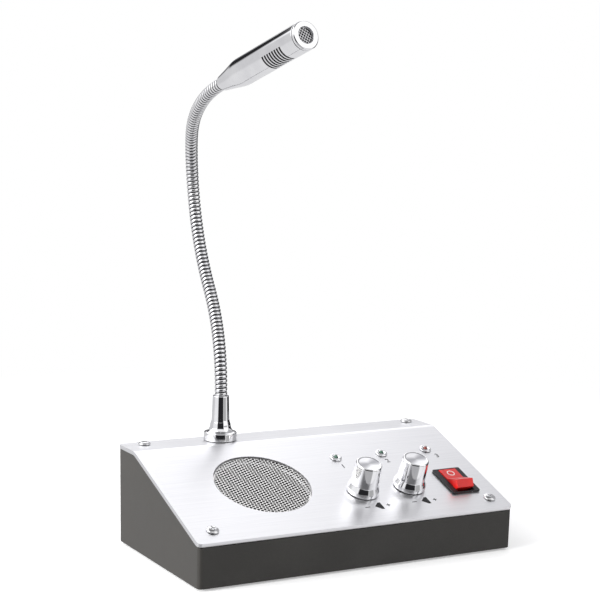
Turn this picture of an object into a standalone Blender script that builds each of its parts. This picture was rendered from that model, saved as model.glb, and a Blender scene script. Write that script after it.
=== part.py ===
"""Window intercom: a desk unit with a sloped metal panel, a loudspeaker and a gooseneck microphone.

Units are metres, +Z is up, +X runs along the unit's width and -Y faces the person who speaks.
The origin is on the rest plane, under the middle of the footprint.
"""

import math

import bmesh
import bpy
from mathutils import Matrix, Quaternion, Vector

MM = 0.001

# Clearances
REST_GAP = 0.3 * MM
RUN_GAP = 0.15 * MM
OVERRUN = 3.0 * MM
MERGE = 0.001 * MM

# Overall shape
WIDTH = 218.8 * MM
PANEL_BACK_Y = 59.0 * MM
FOLD_Y = 33.5 * MM
SLOPE_LENGTH = 98.5 * MM
SLOPE = math.radians(20.76)
TOP_HEIGHT = 61.4 * MM
PANEL_THICK = 2.4 * MM
PANEL_CORNER = 3.0 * MM
CORNER_TOLERANCE = 0.5 * MM
FOLD_ROUND = 2.0 * MM
FOOT_SHOW = 1.5 * MM

# One share of the width and of the slope: what stands on them is placed in shares
WIDTH_SHARES = 218.8
SLOPE_SHARES = 98.5
ACROSS = WIDTH / WIDTH_SHARES
DOWN = SLOPE_LENGTH / SLOPE_SHARES

# Housing tray
HOUSING_INSET = 0.2 * MM
WALL = 2.5 * MM
DRAFT_RATIO = 0.0116
HOUSING_CORNER = 3.0 * MM
POST_RADIUS = 4.5 * MM
SCREW_INSET_LEFT = 14.0 * MM
SCREW_INSET_RIGHT = 10.9 * MM
SCREW_REAR_Y = 50.3 * MM
SCREW_FRONT_DOWN = 87.1 * DOWN
PILOT_RADIUS = 1.3 * MM

# Panel screws and board screws
SCREW_HEAD_RADIUS = 3.8 * MM
SCREW_HEAD_HEIGHT = 1.6 * MM
SCREW_DOME_SHARES = ((1.0, 0.35), (0.82, 0.8), (0.45, 1.0))
SCREW_SHANK_RADIUS = 1.0 * MM
SCREW_SHANK_LENGTH = 9.0 * MM
SCREW_HOLE_RADIUS = 1.7 * MM
SCREW_SLOT_WIDTH = 0.7 * MM
SCREW_SLOT_LENGTH = 4.2 * MM
SCREW_SLOT_DEPTH = 0.9 * MM

# Rear recess with the sockets
RECESS_LEFT_X = 1.5 * ACROSS
RECESS_RIGHT_X = 87.5 * ACROSS
RECESS_HEIGHT = 27.3 * MM
RECESS_DEPTH = 9.5 * MM

# Main board
BOARD_THICK = 1.6 * MM
BOARD_LIFT = 9.4 * MM
BOARD_LEFT_X = -2.0 * ACROSS
BOARD_RIGHT_X = 94.0 * ACROSS
BOARD_FRONT_Y = -26.0 * MM
BOARD_MARGIN = 4.0 * MM
STANDOFF_RADIUS = 3.2 * MM

# Sockets
POWER_X = 76.4 * ACROSS
POWER_SIZE = 13.8 * MM
POWER_DEPTH = 14.0 * MM
POWER_BORE = 3.1 * MM
POWER_PIN = 1.0 * MM
POWER_PIN_SET = 1.8 * MM
POWER_BORE_DEPTH = 9.0 * MM
AUDIO_X = (29.1 * ACROSS, 51.0 * ACROSS)
AUDIO_WIDTH = 8.0 * MM
AUDIO_DEPTH = 12.5 * MM
AUDIO_HEIGHT = 7.4 * MM
AUDIO_BUSH = 3.0 * MM
AUDIO_BORE = 1.8 * MM
AUDIO_NUT = 4.3 * MM
AUDIO_NUT_THICK = 1.8 * MM
AUDIO_NUT_CHAMFER = 0.4 * MM
AUDIO_BORE_SHARE = 0.8

# Control columns on the sloped panel
COLUMN_X = 52.1 * ACROSS
COLUMN_PITCH = 34.0 * ACROSS
KNOB_ASIDE = 1.2 * ACROSS
LAMP_DOWN = 27.5 * DOWN
KNOB_DOWN = 65.4 * DOWN
SWITCH_DOWN = 66.0 * DOWN

# Indicator lamps
LAMP_RADIUS = 1.5 * MM
LAMP_FLANGE = 1.9 * MM
LAMP_LEG = 0.3 * MM
LAMP_LEG_LENGTH = 7.0 * MM
LAMP_SHOW = 0.7 * MM
LAMP_DOME = 1.5 * MM
LAMP_DOME_SHARES = ((1.0, 0.0), (0.87, 0.5), (0.5, 0.87), (0.0, 1.0))
BEZEL_RADIUS = 3.9 * MM
BEZEL_THICK = 1.1 * MM
BEZEL_RIM_SHARES = ((1.0, 0.45), (0.8, 1.0), (0.66, 1.0))
BEZEL_TUBE = 2.7 * MM
BEZEL_DEPTH = 5.0 * MM

# Volume controls
POT_RADIUS = 8.2 * MM
POT_DEPTH = 8.5 * MM
POT_BUSH = 3.5 * MM
POT_BUSH_RISE = 4.6 * MM
POT_SHAFT = 3.0 * MM
POT_SHAFT_TOP = 17.0 * MM
POT_NUT = 5.2 * MM
POT_NUT_THICK = 2.0 * MM
KNOB_SKIRT = 10.3 * MM
KNOB_SKIRT_HEIGHT = 2.6 * MM
KNOB_BODY_FOOT = 9.0 * MM
KNOB_BODY_TOP = 8.3 * MM
KNOB_FLARE_HEIGHT = 5.6 * MM
KNOB_HEIGHT = 19.9 * MM
KNOB_LIFT = 0.5 * MM
KNOB_EDGE = 0.8 * MM
KNOB_CAVITY = 6.9 * MM
KNOB_CAVITY_HEIGHT = 4.6 * MM
KNOB_BORE_TOP = 17.6 * MM
KNOB_MARK_WIDTH = 1.0 * MM
KNOB_MARK_DEPTH = 0.5 * MM

# Rocker switch
SWITCH_WIDTH = 20.2 * MM
SWITCH_LENGTH = 26.6 * MM
SWITCH_RIM = 1.0 * MM
SWITCH_BODY_WIDTH = 18.6 * MM
SWITCH_BODY_LENGTH = 24.8 * MM
SWITCH_BODY_DEPTH = 16.5 * MM
SWITCH_CORNER = 0.6 * MM
ROCKER_WIDTH = 12.4 * MM
ROCKER_LENGTH = 20.0 * MM
ROCKER_MID_RISE = 0.8 * MM
ROCKER_PIVOT_DROP = 3.8 * MM
ROCKER_FOOT_DROP = 4.4 * MM
ROCKER_FOOT_LENGTH = 9.0 * MM
ROCKER_SWING = math.radians(15.0)
ROCKER_FLANK = math.radians(11.5)
ROCKER_PIN = 1.2 * MM
ROCKER_PIN_REACH = 1.4 * MM
BLADE_WIDTH = 4.8 * MM
BLADE_THICK = 0.8 * MM
BLADE_LENGTH = 6.0 * MM
BLADE_SPREAD_X = 5.0 * MM
BLADE_SPREAD_Y = 6.5 * MM

# Loudspeaker and its grille
SPEAKER_X = -43.5 * ACROSS
SPEAKER_DOWN = 46.7 * DOWN
SPEAKER_RADIUS = 33.0 * MM
SPEAKER_LAP = 2.4 * MM
GRILLE_LAP = 0.5 * MM
SPEAKER_OPENING = SPEAKER_RADIUS - SPEAKER_LAP
GRILLE_RADIUS = SPEAKER_RADIUS + GRILLE_LAP
GRILLE_THICK = 0.8 * MM
GRILLE_RISE = 2.0 * MM
GRILLE_WALL = 0.8 * MM
GRILLE_PITCH = 5.4 * MM
GRILLE_HOLE = 3.6 * MM
SPEAKER_RIM = 2.0 * MM
SPEAKER_DEPTH = 12.0 * MM
BASKET_WALL = 1.0 * MM
BASKET_FOOT = 17.0 * MM
MAGNET_RADIUS = 16.0 * MM
MAGNET_THICK = 8.0 * MM
YOKE_THICK = 2.0 * MM
POLE_RADIUS = 6.5 * MM
COIL_RADIUS = 7.4 * MM
COIL_WALL = 0.5 * MM
COIL_BORE = 8.2 * MM
CONE_WALL = 0.6 * MM
CONE_ROLL_SHARE = 0.86

# Gooseneck fitting on the flat rear strip
NECK_X = -45.0 * ACROSS
NECK_Y = 46.0 * MM
FITTING_FLANGE = 10.5 * MM
FITTING_FLANGE_HEIGHT = 5.0 * MM
FITTING_FLARE = 6.6 * MM
FITTING_FLARE_STEPS = 3
FITTING_SLEEVE_FOOT = 5.7 * MM
FITTING_SLEEVE_TOP = 5.2 * MM
FITTING_HEIGHT = 28.6 * MM
FITTING_EDGE = 0.6 * MM
FITTING_STUB = 5.0 * MM
FITTING_STUB_LENGTH = 13.0 * MM
FITTING_BORE = 2.6 * MM
FITTING_NUT = 8.0 * MM
FITTING_NUT_THICK = 4.0 * MM
FITTING_WASHER = 9.0 * MM
FITTING_WASHER_THICK = 1.0 * MM

# Gooseneck: ribbed hose in stretches, each one arc of the bent neck
NECK_CREST = 4.1 * MM
NECK_ROOT = 3.65 * MM
NECK_BORE = 2.0 * MM
NECK_INSERT = 9.0 * MM
RIB_PITCH = 2.65 * MM
BALL_RADIUS = 3.75 * MM
CUP_RADIUS = 4.2 * MM
LEAD_RADIUS = 1.6 * MM
LEAD_STEP = 9.0 * MM
LEAD_LOOP_POINTS = 12
NECK_STRETCHES = (
    # length, bend towards the speaker in degrees, bend to the side in degrees
    (36.8 * MM, -34.3, 9.4),
    (38.0 * MM, -3.6, -7.0),
    (53.0 * MM, 17.1, -0.5),
    (59.4 * MM, 67.2, -27.7),
    (68.3 * MM, 28.5, 15.0),
)

# Microphone head
MIC_LENGTH = 96.0 * MM
MIC_RADIUS = 8.6 * MM
MIC_WALL = 0.9 * MM
MIC_TAIL_RADIUS = 5.0 * MM
MIC_TAPER = 24.5 * MM
MIC_START = 3.0 * MM
MIC_SHOULDER_SHARES = (0.45, 0.5)
MIC_SOCKET = 8.0 * MM
MIC_SLOT_COUNT = 8
MIC_SLOT_FACETS = 3
MIC_SLOT_BACK = 35.0 * MM
MIC_SLOT_FIRST = MIC_LENGTH - MIC_SLOT_BACK
MIC_SLOT_PITCH = 2.65 * MM
MIC_SLOT_WIDTH = 1.4 * MM
MIC_SLOT_SPAN = math.radians(83.0)
MIC_SLOT_TILT = math.radians(40.5)
CAP_LENGTH = 2.0 * MM
CAP_FACE_EDGE = 0.6 * MM
CAP_OPENING = 5.1 * MM
CAP_FACE_THICK = 1.4 * MM
CAP_SPIGOT = 3.0 * MM
MESH_THICK = 0.6 * MM
MESH_PITCH = 1.9 * MM
MESH_HOLE = 1.1 * MM
MESH_REACH = 2
CAPSULE_RADIUS = 4.8 * MM
CAPSULE_LENGTH = 5.0 * MM
HOLDER_WALL = 0.9 * MM
HOLDER_LENGTH = 40.0 * MM

# Feet
FOOT_RADIUS = 6.0 * MM
FOOT_INSET_X = 11.7 * MM
FOOT_INSET_Y = 11.0 * MM
FOOT_EDGE = 0.3 * MM
FOOT_SOLE_SHARE = 0.8

# Parts on the board
CAN_RADII = (5.0 * MM, 5.0 * MM, 4.0 * MM, 3.2 * MM)
CAN_HEIGHTS = (12.5 * MM, 12.5 * MM, 11.0 * MM, 9.0 * MM)
CAN_PLACES = (
    (20.0 * ACROSS, 22.0 * MM),
    (34.0 * ACROSS, 22.0 * MM),
    (62.0 * ACROSS, 24.0 * MM),
    (46.0 * ACROSS, 8.0 * MM),
)
CHIP_WIDTH = 20.0 * MM
CHIP_DEPTH = 4.5 * MM
CHIP_HEIGHT = 12.0 * MM
CHIP_X = 16.0 * ACROSS
CHIP_Y = 4.0 * MM
SINK_DEPTH = 8.0 * MM
SINK_HEIGHT = 15.0 * MM
SINK_BACK = 2.4 * MM
SINK_FINS = 5
SINK_FIN_SHARE = 0.5
HEADER_PLACES = (
    # microphone, loudspeaker, left control, right control, switch
    (5.0 * ACROSS, 31.0 * MM),
    (5.0 * ACROSS, 19.0 * MM),
    (17.0 * ACROSS, -21.0 * MM),
    (52.0 * ACROSS, -21.0 * MM),
    (73.0 * ACROSS, -21.0 * MM),
)
HEADER_WIDTH = 7.0 * MM
HEADER_DEPTH = 5.0 * MM
HEADER_HEIGHT = 6.0 * MM

# Facets round a turned piece
ROUND_FINE = 24
ROUND = 18
ROUND_SMALL = 16
ROUND_TINY = 12
ROUND_PILOT = 8
SCREW_FACETS = 10
BALL_MERIDIANS = 12
BALL_PARALLELS = 8
HEX = 6
ROUND_CORNER_STEPS = 3
SHARP_ANGLE = math.radians(32.0)

BASE_Z = FOOT_SHOW
TOP_Z = BASE_Z + TOP_HEIGHT
UNDER = PANEL_THICK + REST_GAP
HOUSING_BACK_Y = PANEL_BACK_Y - HOUSING_INSET
FRONT_EDGE_Y = FOLD_Y - SLOPE_LENGTH * math.cos(SLOPE)
HOUSING_FRONT_Y = FRONT_EDGE_Y + HOUSING_INSET
HOUSING_HALF = WIDTH / 2 - HOUSING_INSET
SCREW_SPOTS_X = (SCREW_INSET_LEFT - WIDTH / 2, WIDTH / 2 - SCREW_INSET_RIGHT)
RECESS_FACE_Y = HOUSING_BACK_Y - RECESS_DEPTH
RECESS_WALL_Y = RECESS_FACE_Y - WALL
FLOOR_Z = BASE_Z + WALL
BOARD_Z = BASE_Z + BOARD_LIFT
BOARD_TOP_Z = BOARD_Z + BOARD_THICK
BOARD_BACK_Y = RECESS_WALL_Y - REST_GAP
PART_Z = BOARD_TOP_Z + REST_GAP
COLUMNS = (COLUMN_X - COLUMN_PITCH, COLUMN_X, COLUMN_X + COLUMN_PITCH)
KNOB_COLUMNS = tuple(x - KNOB_ASIDE for x in COLUMNS[:2])


def surface_z(y, depth):
    """Height of the panel's outer surface, lowered by depth along its normal, at y."""
    bend_y = FOLD_Y + depth * math.tan(SLOPE / 2)
    if y >= bend_y:
        return TOP_Z - depth
    return TOP_Z - depth - (bend_y - y) * math.tan(SLOPE)


def make_material(name, colour, roughness, metallic):
    """One plain Principled material."""
    material = bpy.data.materials.new(name)
    material.use_nodes = True
    shader = material.node_tree.nodes["Principled BSDF"]
    shader.inputs["Base Color"].default_value = (*colour, 1.0)
    shader.inputs["Roughness"].default_value = roughness
    shader.inputs["Metallic"].default_value = metallic
    return material


def clear_scene():
    for item in list(bpy.data.objects):
        bpy.data.objects.remove(item, do_unlink=True)


def add_mesh(name, shape, material=None):
    """Turn a bmesh into an object, faces outward, round faces smooth."""
    bmesh.ops.remove_doubles(shape, verts=shape.verts, dist=MERGE)
    bmesh.ops.recalc_face_normals(shape, faces=shape.faces)
    mesh = bpy.data.meshes.new(name)
    shape.to_mesh(mesh)
    shape.free()
    mesh.shade_smooth()
    mesh.set_sharp_from_angle(angle=SHARP_ANGLE)
    thing = bpy.data.objects.new(name, mesh)
    bpy.context.scene.collection.objects.link(thing)
    if material:
        mesh.materials.append(material)
    return thing


def hide(thing):
    """Mark a piece as a cutter, which is not part of the model."""
    thing.hide_render = True
    thing.display_type = "WIRE"
    return thing


def boolean(thing, other, operation="DIFFERENCE"):
    step = thing.modifiers.new(operation.lower(), "BOOLEAN")
    step.operation = operation
    step.solver = "EXACT"
    step.object = other


def turned(shape, profile, steps, centre=(0.0, 0.0), base=0.0):
    """Spin a profile of (radius, height) points round an upright axis in a bmesh."""
    cx, cy = centre
    points = [shape.verts.new((cx + radius, cy, base + height)) for radius, height in profile]
    edges = [shape.edges.new(pair) for pair in zip(points, points[1:])]
    if profile[0][0] > 0.0:
        edges.append(shape.edges.new((points[-1], points[0])))
    bmesh.ops.spin(
        shape,
        geom=points + edges,
        cent=(cx, cy, 0.0),
        axis=(0.0, 0.0, 1.0),
        angle=math.tau,
        steps=steps,
        use_merge=True,
    )


def lathe(name, profile, material=None, steps=ROUND, centre=(0.0, 0.0), base=0.0):
    shape = bmesh.new()
    turned(shape, profile, steps, centre, base)
    return add_mesh(name, shape, material)


def block(shape, low, high):
    """Add a box between two corners to a bmesh."""
    size = Vector(high) - Vector(low)
    middle = (Vector(high) + Vector(low)) / 2
    place = Matrix.Translation(middle) @ Matrix.Diagonal((*size, 1.0))
    return bmesh.ops.create_cube(shape, size=1.0, matrix=place)["verts"]


def box(name, low, high, material=None):
    shape = bmesh.new()
    block(shape, low, high)
    return add_mesh(name, shape, material)


def bevel_where(shape, test, width, steps):
    """Round those edges of a bmesh whose two ends pass a test."""
    edges = [edge for edge in shape.edges if test(edge.verts[0].co, edge.verts[1].co)]
    bmesh.ops.bevel(shape, geom=edges, offset=width, segments=steps, affect="EDGES", profile=0.5)


def prism(shape, outline, half_width, draft_top=None):
    """Push a closed (y, z) outline out to both sides, drawn in below draft_top."""
    rows = []
    for side in (-1, 1):
        row = []
        for y, z in outline:
            drawn = 0.0 if draft_top is None else DRAFT_RATIO * max(draft_top - z, 0.0)
            row.append(shape.verts.new((side * (half_width - drawn), y, z)))
        rows.append(row)
        shape.faces.new(row)
    bmesh.ops.bridge_loops(
        shape,
        edges=[shape.edges.get((row[i - 1], row[i])) for row in rows for i in range(len(row))],
    )
    bmesh.ops.recalc_face_normals(shape, faces=shape.faces)


def slope_point(x, down, height=0.0):
    """World place of a point on the sloped panel, down from the fold and off its face."""
    return Vector((
        x,
        FOLD_Y - down * math.cos(SLOPE) - height * math.sin(SLOPE),
        TOP_Z - down * math.sin(SLOPE) + height * math.cos(SLOPE),
    ))


def on_slope(thing, frame):
    thing.parent = frame
    return thing


def tube(name, points, radius, material=None, radii=None, resolution=2):
    """A round tube along a chain of points, with filled ends, as a mesh."""
    curve = bpy.data.curves.new(name, "CURVE")
    curve.dimensions = "3D"
    curve.bevel_depth = radius
    curve.bevel_resolution = resolution
    curve.use_fill_caps = True
    spline = curve.splines.new("POLY")
    spline.points.add(len(points) - 1)
    for index, point in enumerate(points):
        spline.points[index].co = (*point, 1.0)
        if radii:
            spline.points[index].radius = radii[index] / radius
    thing = bpy.data.objects.new(name + "_line", curve)
    bpy.context.scene.collection.objects.link(thing)
    view = bpy.context.evaluated_depsgraph_get()
    mesh = bpy.data.meshes.new_from_object(thing.evaluated_get(view))
    bpy.data.objects.remove(thing, do_unlink=True)
    shape = bmesh.new()
    shape.from_mesh(mesh)
    bpy.data.meshes.remove(mesh)
    return add_mesh(name, shape, material)


def smooth_line(knots, count):
    """Points on a smooth curve that passes through the given knots."""
    knots = [Vector(knot) for knot in knots]
    ends = [knots[0] * 2 - knots[1]] + knots + [knots[-1] * 2 - knots[-2]]
    points = []
    spans = len(knots) - 1
    for index in range(count + 1):
        place = index / count * spans
        span = min(int(place), spans - 1)
        t = place - span
        a, b, c, d = ends[span:span + 4]
        points.append(
            (b * 2 + (c - a) * t + (a * 2 - b * 5 + c * 4 - d) * t ** 2
             + (b * 3 - a - c * 3 + d) * t ** 3) / 2
        )
    return points


class Neck:
    """The bent gooseneck as a chain of arcs, walked from the fitting to the head."""

    def __init__(self):
        self.starts = []
        spot = Vector((NECK_X, NECK_Y, TOP_Z + FITTING_HEIGHT))
        frame = Quaternion()
        for length, forward, sideways in NECK_STRETCHES:
            self.starts.append((spot.copy(), frame.copy(), length, forward, sideways))
            spot, frame = self.step(self.starts[-1], length)
        self.end = spot
        self.end_frame = frame

    @staticmethod
    def step(stretch, distance):
        """Place and frame at a distance along one stretch, straight beyond its ends."""
        spot, frame, length, forward, sideways = stretch
        turn = Vector((math.radians(forward), math.radians(sideways), 0.0))
        angle = turn.length
        inside = min(max(distance, 0.0), length)
        share = inside / length
        axis = turn.normalized()
        bent = Quaternion(axis, angle * share)
        radius = length / angle
        reach = radius * math.sin(angle * share)
        rise = radius * (1.0 - math.cos(angle * share))
        sidestep = axis.cross(Vector((0.0, 0.0, 1.0)))
        local = Vector((0.0, 0.0, reach)) + sidestep * rise
        now = frame @ bent
        place = spot + frame @ local + now @ Vector((0.0, 0.0, distance - inside))
        return place, now

    def at(self, index, distance):
        return self.step(self.starts[index], distance)

    def points(self, index, first, last, step):
        count = max(2, round((last - first) / step))
        spots = [first + (last - first) * i / count for i in range(count + 1)]
        return [self.at(index, spot)[0] for spot in spots]


def stand(thing, place, frame):
    """Put a piece whose axis is Z at a place, turned to a frame."""
    thing.location = place
    thing.rotation_mode = "QUATERNION"
    thing.rotation_quaternion = frame
    return thing


def ball(name, radius):
    shape = bmesh.new()
    bmesh.ops.create_uvsphere(
        shape, u_segments=BALL_MERIDIANS, v_segments=BALL_PARALLELS, radius=radius
    )
    return add_mesh(name, shape)


def hexagon(name, radius, bore, low, high, material, centre=(0.0, 0.0), frame=None):
    """A hexagonal nut with a round bore."""
    outside = ((0.0, low), (radius, low), (radius, high), (0.0, high))
    inside = (
        (0.0, low - OVERRUN), (bore, low - OVERRUN), (bore, high + OVERRUN), (0.0, high + OVERRUN),
    )
    nut = lathe(name, outside, material, HEX, centre)
    nut.data.shade_flat()
    hole = hide(lathe(name + "_bore", inside, None, ROUND_SMALL, centre))
    nut.parent = frame
    hole.parent = frame
    boolean(nut, hole)
    return nut


def screw_shape(shape, centre, base):
    """A cross-head screw standing in a bmesh, its head's underside at base."""
    profile = (
        (0.0, -SCREW_SHANK_LENGTH),
        (SCREW_SHANK_RADIUS, -SCREW_SHANK_LENGTH),
        (SCREW_SHANK_RADIUS, 0.0),
        (SCREW_HEAD_RADIUS, 0.0),
        *((SCREW_HEAD_RADIUS * out, SCREW_HEAD_HEIGHT * up) for out, up in SCREW_DOME_SHARES),
        (0.0, SCREW_HEAD_HEIGHT),
    )
    turned(shape, profile, SCREW_FACETS, centre, base)


def cross_shape(shape, centre, base):
    """The cross recess in a screw's head."""
    top = base + SCREW_HEAD_HEIGHT
    low = top - SCREW_SLOT_DEPTH
    long_half = SCREW_SLOT_LENGTH / 2
    short_half = SCREW_SLOT_WIDTH / 2
    spots = [
        (short_half, short_half), (long_half, short_half), (long_half, -short_half),
        (short_half, -short_half), (short_half, -long_half), (-short_half, -long_half),
        (-short_half, -short_half), (-long_half, -short_half), (-long_half, short_half),
        (-short_half, short_half), (-short_half, long_half), (short_half, long_half),
    ]
    floor = [shape.verts.new((centre[0] + x, centre[1] + y, low)) for x, y in spots]
    face = shape.faces.new(floor)
    pushed = bmesh.ops.extrude_face_region(shape, geom=[face])["geom"]
    verts = [item for item in pushed if isinstance(item, bmesh.types.BMVert)]
    bmesh.ops.translate(shape, verts=verts, vec=(0.0, 0.0, top - low + OVERRUN))


def make_screws(name, places, material):
    """Cross-head screws, one object each; a place is a world point and a tilt."""
    for number, (place, tilt) in enumerate(places, 1):
        shape = bmesh.new()
        screw_shape(shape, (0.0, 0.0), 0.0)
        screw = add_mesh("%s_%d" % (name, number), shape, material)
        shape = bmesh.new()
        cross_shape(shape, (0.0, 0.0), 0.0)
        cross = hide(add_mesh("%s_cross_%d" % (name, number), shape))
        for thing in (screw, cross):
            thing.location = place
            thing.rotation_euler = (tilt, 0.0, 0.0)
        boolean(screw, cross)


def screw_places():
    """World places of the four panel screws, on the panel's outer face."""
    places = []
    for x in SCREW_SPOTS_X:
        places.append((Vector((x, SCREW_REAR_Y, TOP_Z + REST_GAP)), 0.0))
        places.append((slope_point(x, SCREW_FRONT_DOWN, REST_GAP), SLOPE))
    return places


def board_screw_spots():
    left = BOARD_LEFT_X + BOARD_MARGIN
    right = BOARD_RIGHT_X - BOARD_MARGIN
    front = BOARD_FRONT_Y + BOARD_MARGIN
    back = BOARD_BACK_Y - BOARD_MARGIN
    return [(x, y) for x in (left, right) for y in (front, back)]


def rod_at(shape, place, tilt, radius, low, high, steps=ROUND_SMALL):
    """A cylinder in a bmesh on an axis through a place, tilted about X."""
    before = set(shape.verts)
    turned(shape, ((0.0, low), (radius, low), (radius, high), (0.0, high)), steps)
    fresh = [vert for vert in shape.verts if vert not in before]
    turn = Matrix.Translation(place) @ Matrix.Rotation(tilt, 4, "X")
    bmesh.ops.transform(shape, matrix=turn, verts=fresh)


def make_housing(material):
    """Moulded tray with corner posts, board standoffs and the rear socket recess."""
    lean_front = DRAFT_RATIO * (surface_z(HOUSING_FRONT_Y, UNDER) - BASE_Z)
    lean_back = DRAFT_RATIO * (TOP_Z - UNDER - BASE_Z)
    bend_y = FOLD_Y + UNDER * math.tan(SLOPE / 2)
    outer = [
        (HOUSING_FRONT_Y + lean_front, BASE_Z),
        (HOUSING_BACK_Y - lean_back, BASE_Z),
        (HOUSING_BACK_Y, TOP_Z - UNDER),
        (bend_y, TOP_Z - UNDER),
        (HOUSING_FRONT_Y, surface_z(HOUSING_FRONT_Y, UNDER)),
    ]
    shape = bmesh.new()
    prism(shape, outer, HOUSING_HALF, TOP_Z)
    middle_y = (HOUSING_FRONT_Y + HOUSING_BACK_Y) / 2
    reach = (HOUSING_BACK_Y - HOUSING_FRONT_Y) / 2 - HOUSING_CORNER

    def is_corner(a, b):
        upright = abs(a.z - b.z) > HOUSING_CORNER and abs(a.y - b.y) < HOUSING_CORNER
        return upright and min(abs(a.y - middle_y), abs(b.y - middle_y)) > reach

    bevel_where(shape, is_corner, HOUSING_CORNER, ROUND_CORNER_STEPS)
    housing = add_mesh("housing", shape, material)

    rim = TOP_Z + OVERRUN
    inner = [
        (HOUSING_FRONT_Y + WALL + lean_front, FLOOR_Z),
        (HOUSING_BACK_Y - WALL - lean_back, FLOOR_Z),
        (HOUSING_BACK_Y - WALL, rim),
        (HOUSING_FRONT_Y + WALL, rim),
    ]
    shape = bmesh.new()
    prism(shape, inner, HOUSING_HALF - WALL, TOP_Z)
    space = hide(add_mesh("housing_space", shape))

    shape = bmesh.new()
    post_low = BASE_Z + WALL / 2
    for x in SCREW_SPOTS_X:
        for y in (SCREW_REAR_Y, slope_point(0.0, SCREW_FRONT_DOWN).y):
            column = ((0.0, post_low), (POST_RADIUS, post_low), (POST_RADIUS, rim), (0.0, rim))
            turned(shape, column, ROUND_SMALL, (x, y))
    stand_top = BOARD_Z - REST_GAP
    for spot in board_screw_spots():
        column = (
            (0.0, post_low), (STANDOFF_RADIUS, post_low),
            (STANDOFF_RADIUS, stand_top), (0.0, stand_top),
        )
        turned(shape, column, SCREW_FACETS, spot)
    posts = hide(add_mesh("housing_posts", shape))
    recess_core = hide(box(
        "recess_core",
        (RECESS_LEFT_X - WALL, RECESS_WALL_Y, post_low),
        (RECESS_RIGHT_X + WALL, HOUSING_BACK_Y + OVERRUN, BASE_Z + RECESS_HEIGHT + WALL),
    ))
    boolean(space, posts)
    boolean(space, recess_core)
    boolean(housing, space)

    recess = hide(box(
        "recess_cut",
        (RECESS_LEFT_X, RECESS_FACE_Y, BASE_Z - OVERRUN),
        (RECESS_RIGHT_X, HOUSING_BACK_Y + OVERRUN, BASE_Z + RECESS_HEIGHT),
    ))
    boolean(housing, recess)

    shape = bmesh.new()
    for place, tilt in screw_places():
        low = -SCREW_SHANK_LENGTH - OVERRUN
        rod_at(shape, place, tilt, PILOT_RADIUS, low, OVERRUN, ROUND_PILOT)
    for x, y in board_screw_spots():
        depth = SCREW_SHANK_LENGTH - BOARD_THICK + REST_GAP
        spot = Vector((x, y, BOARD_Z))
        rod_at(shape, spot, 0.0, PILOT_RADIUS, -depth, OVERRUN, ROUND_PILOT)
    for x in AUDIO_X:
        radius = AUDIO_BUSH + RUN_GAP
        middle = Vector((x, RECESS_FACE_Y, PART_Z + AUDIO_HEIGHT / 2))
        before = set(shape.verts)
        far = WALL + OVERRUN
        turned(shape, ((0.0, -OVERRUN), (radius, -OVERRUN), (radius, far), (0.0, far)), ROUND_SMALL)
        fresh = [vert for vert in shape.verts if vert not in before]
        turn = Matrix.Translation(middle) @ Matrix.Rotation(math.pi / 2, 4, "X")
        bmesh.ops.transform(shape, matrix=turn, verts=fresh)
    half = POWER_SIZE / 2 + REST_GAP
    block(
        shape,
        (POWER_X - half, RECESS_WALL_Y - OVERRUN, PART_Z - REST_GAP),
        (POWER_X + half, RECESS_FACE_Y + OVERRUN, PART_Z + POWER_SIZE + REST_GAP),
    )
    boolean(housing, hide(add_mesh("housing_holes", shape)))
    return housing


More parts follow.
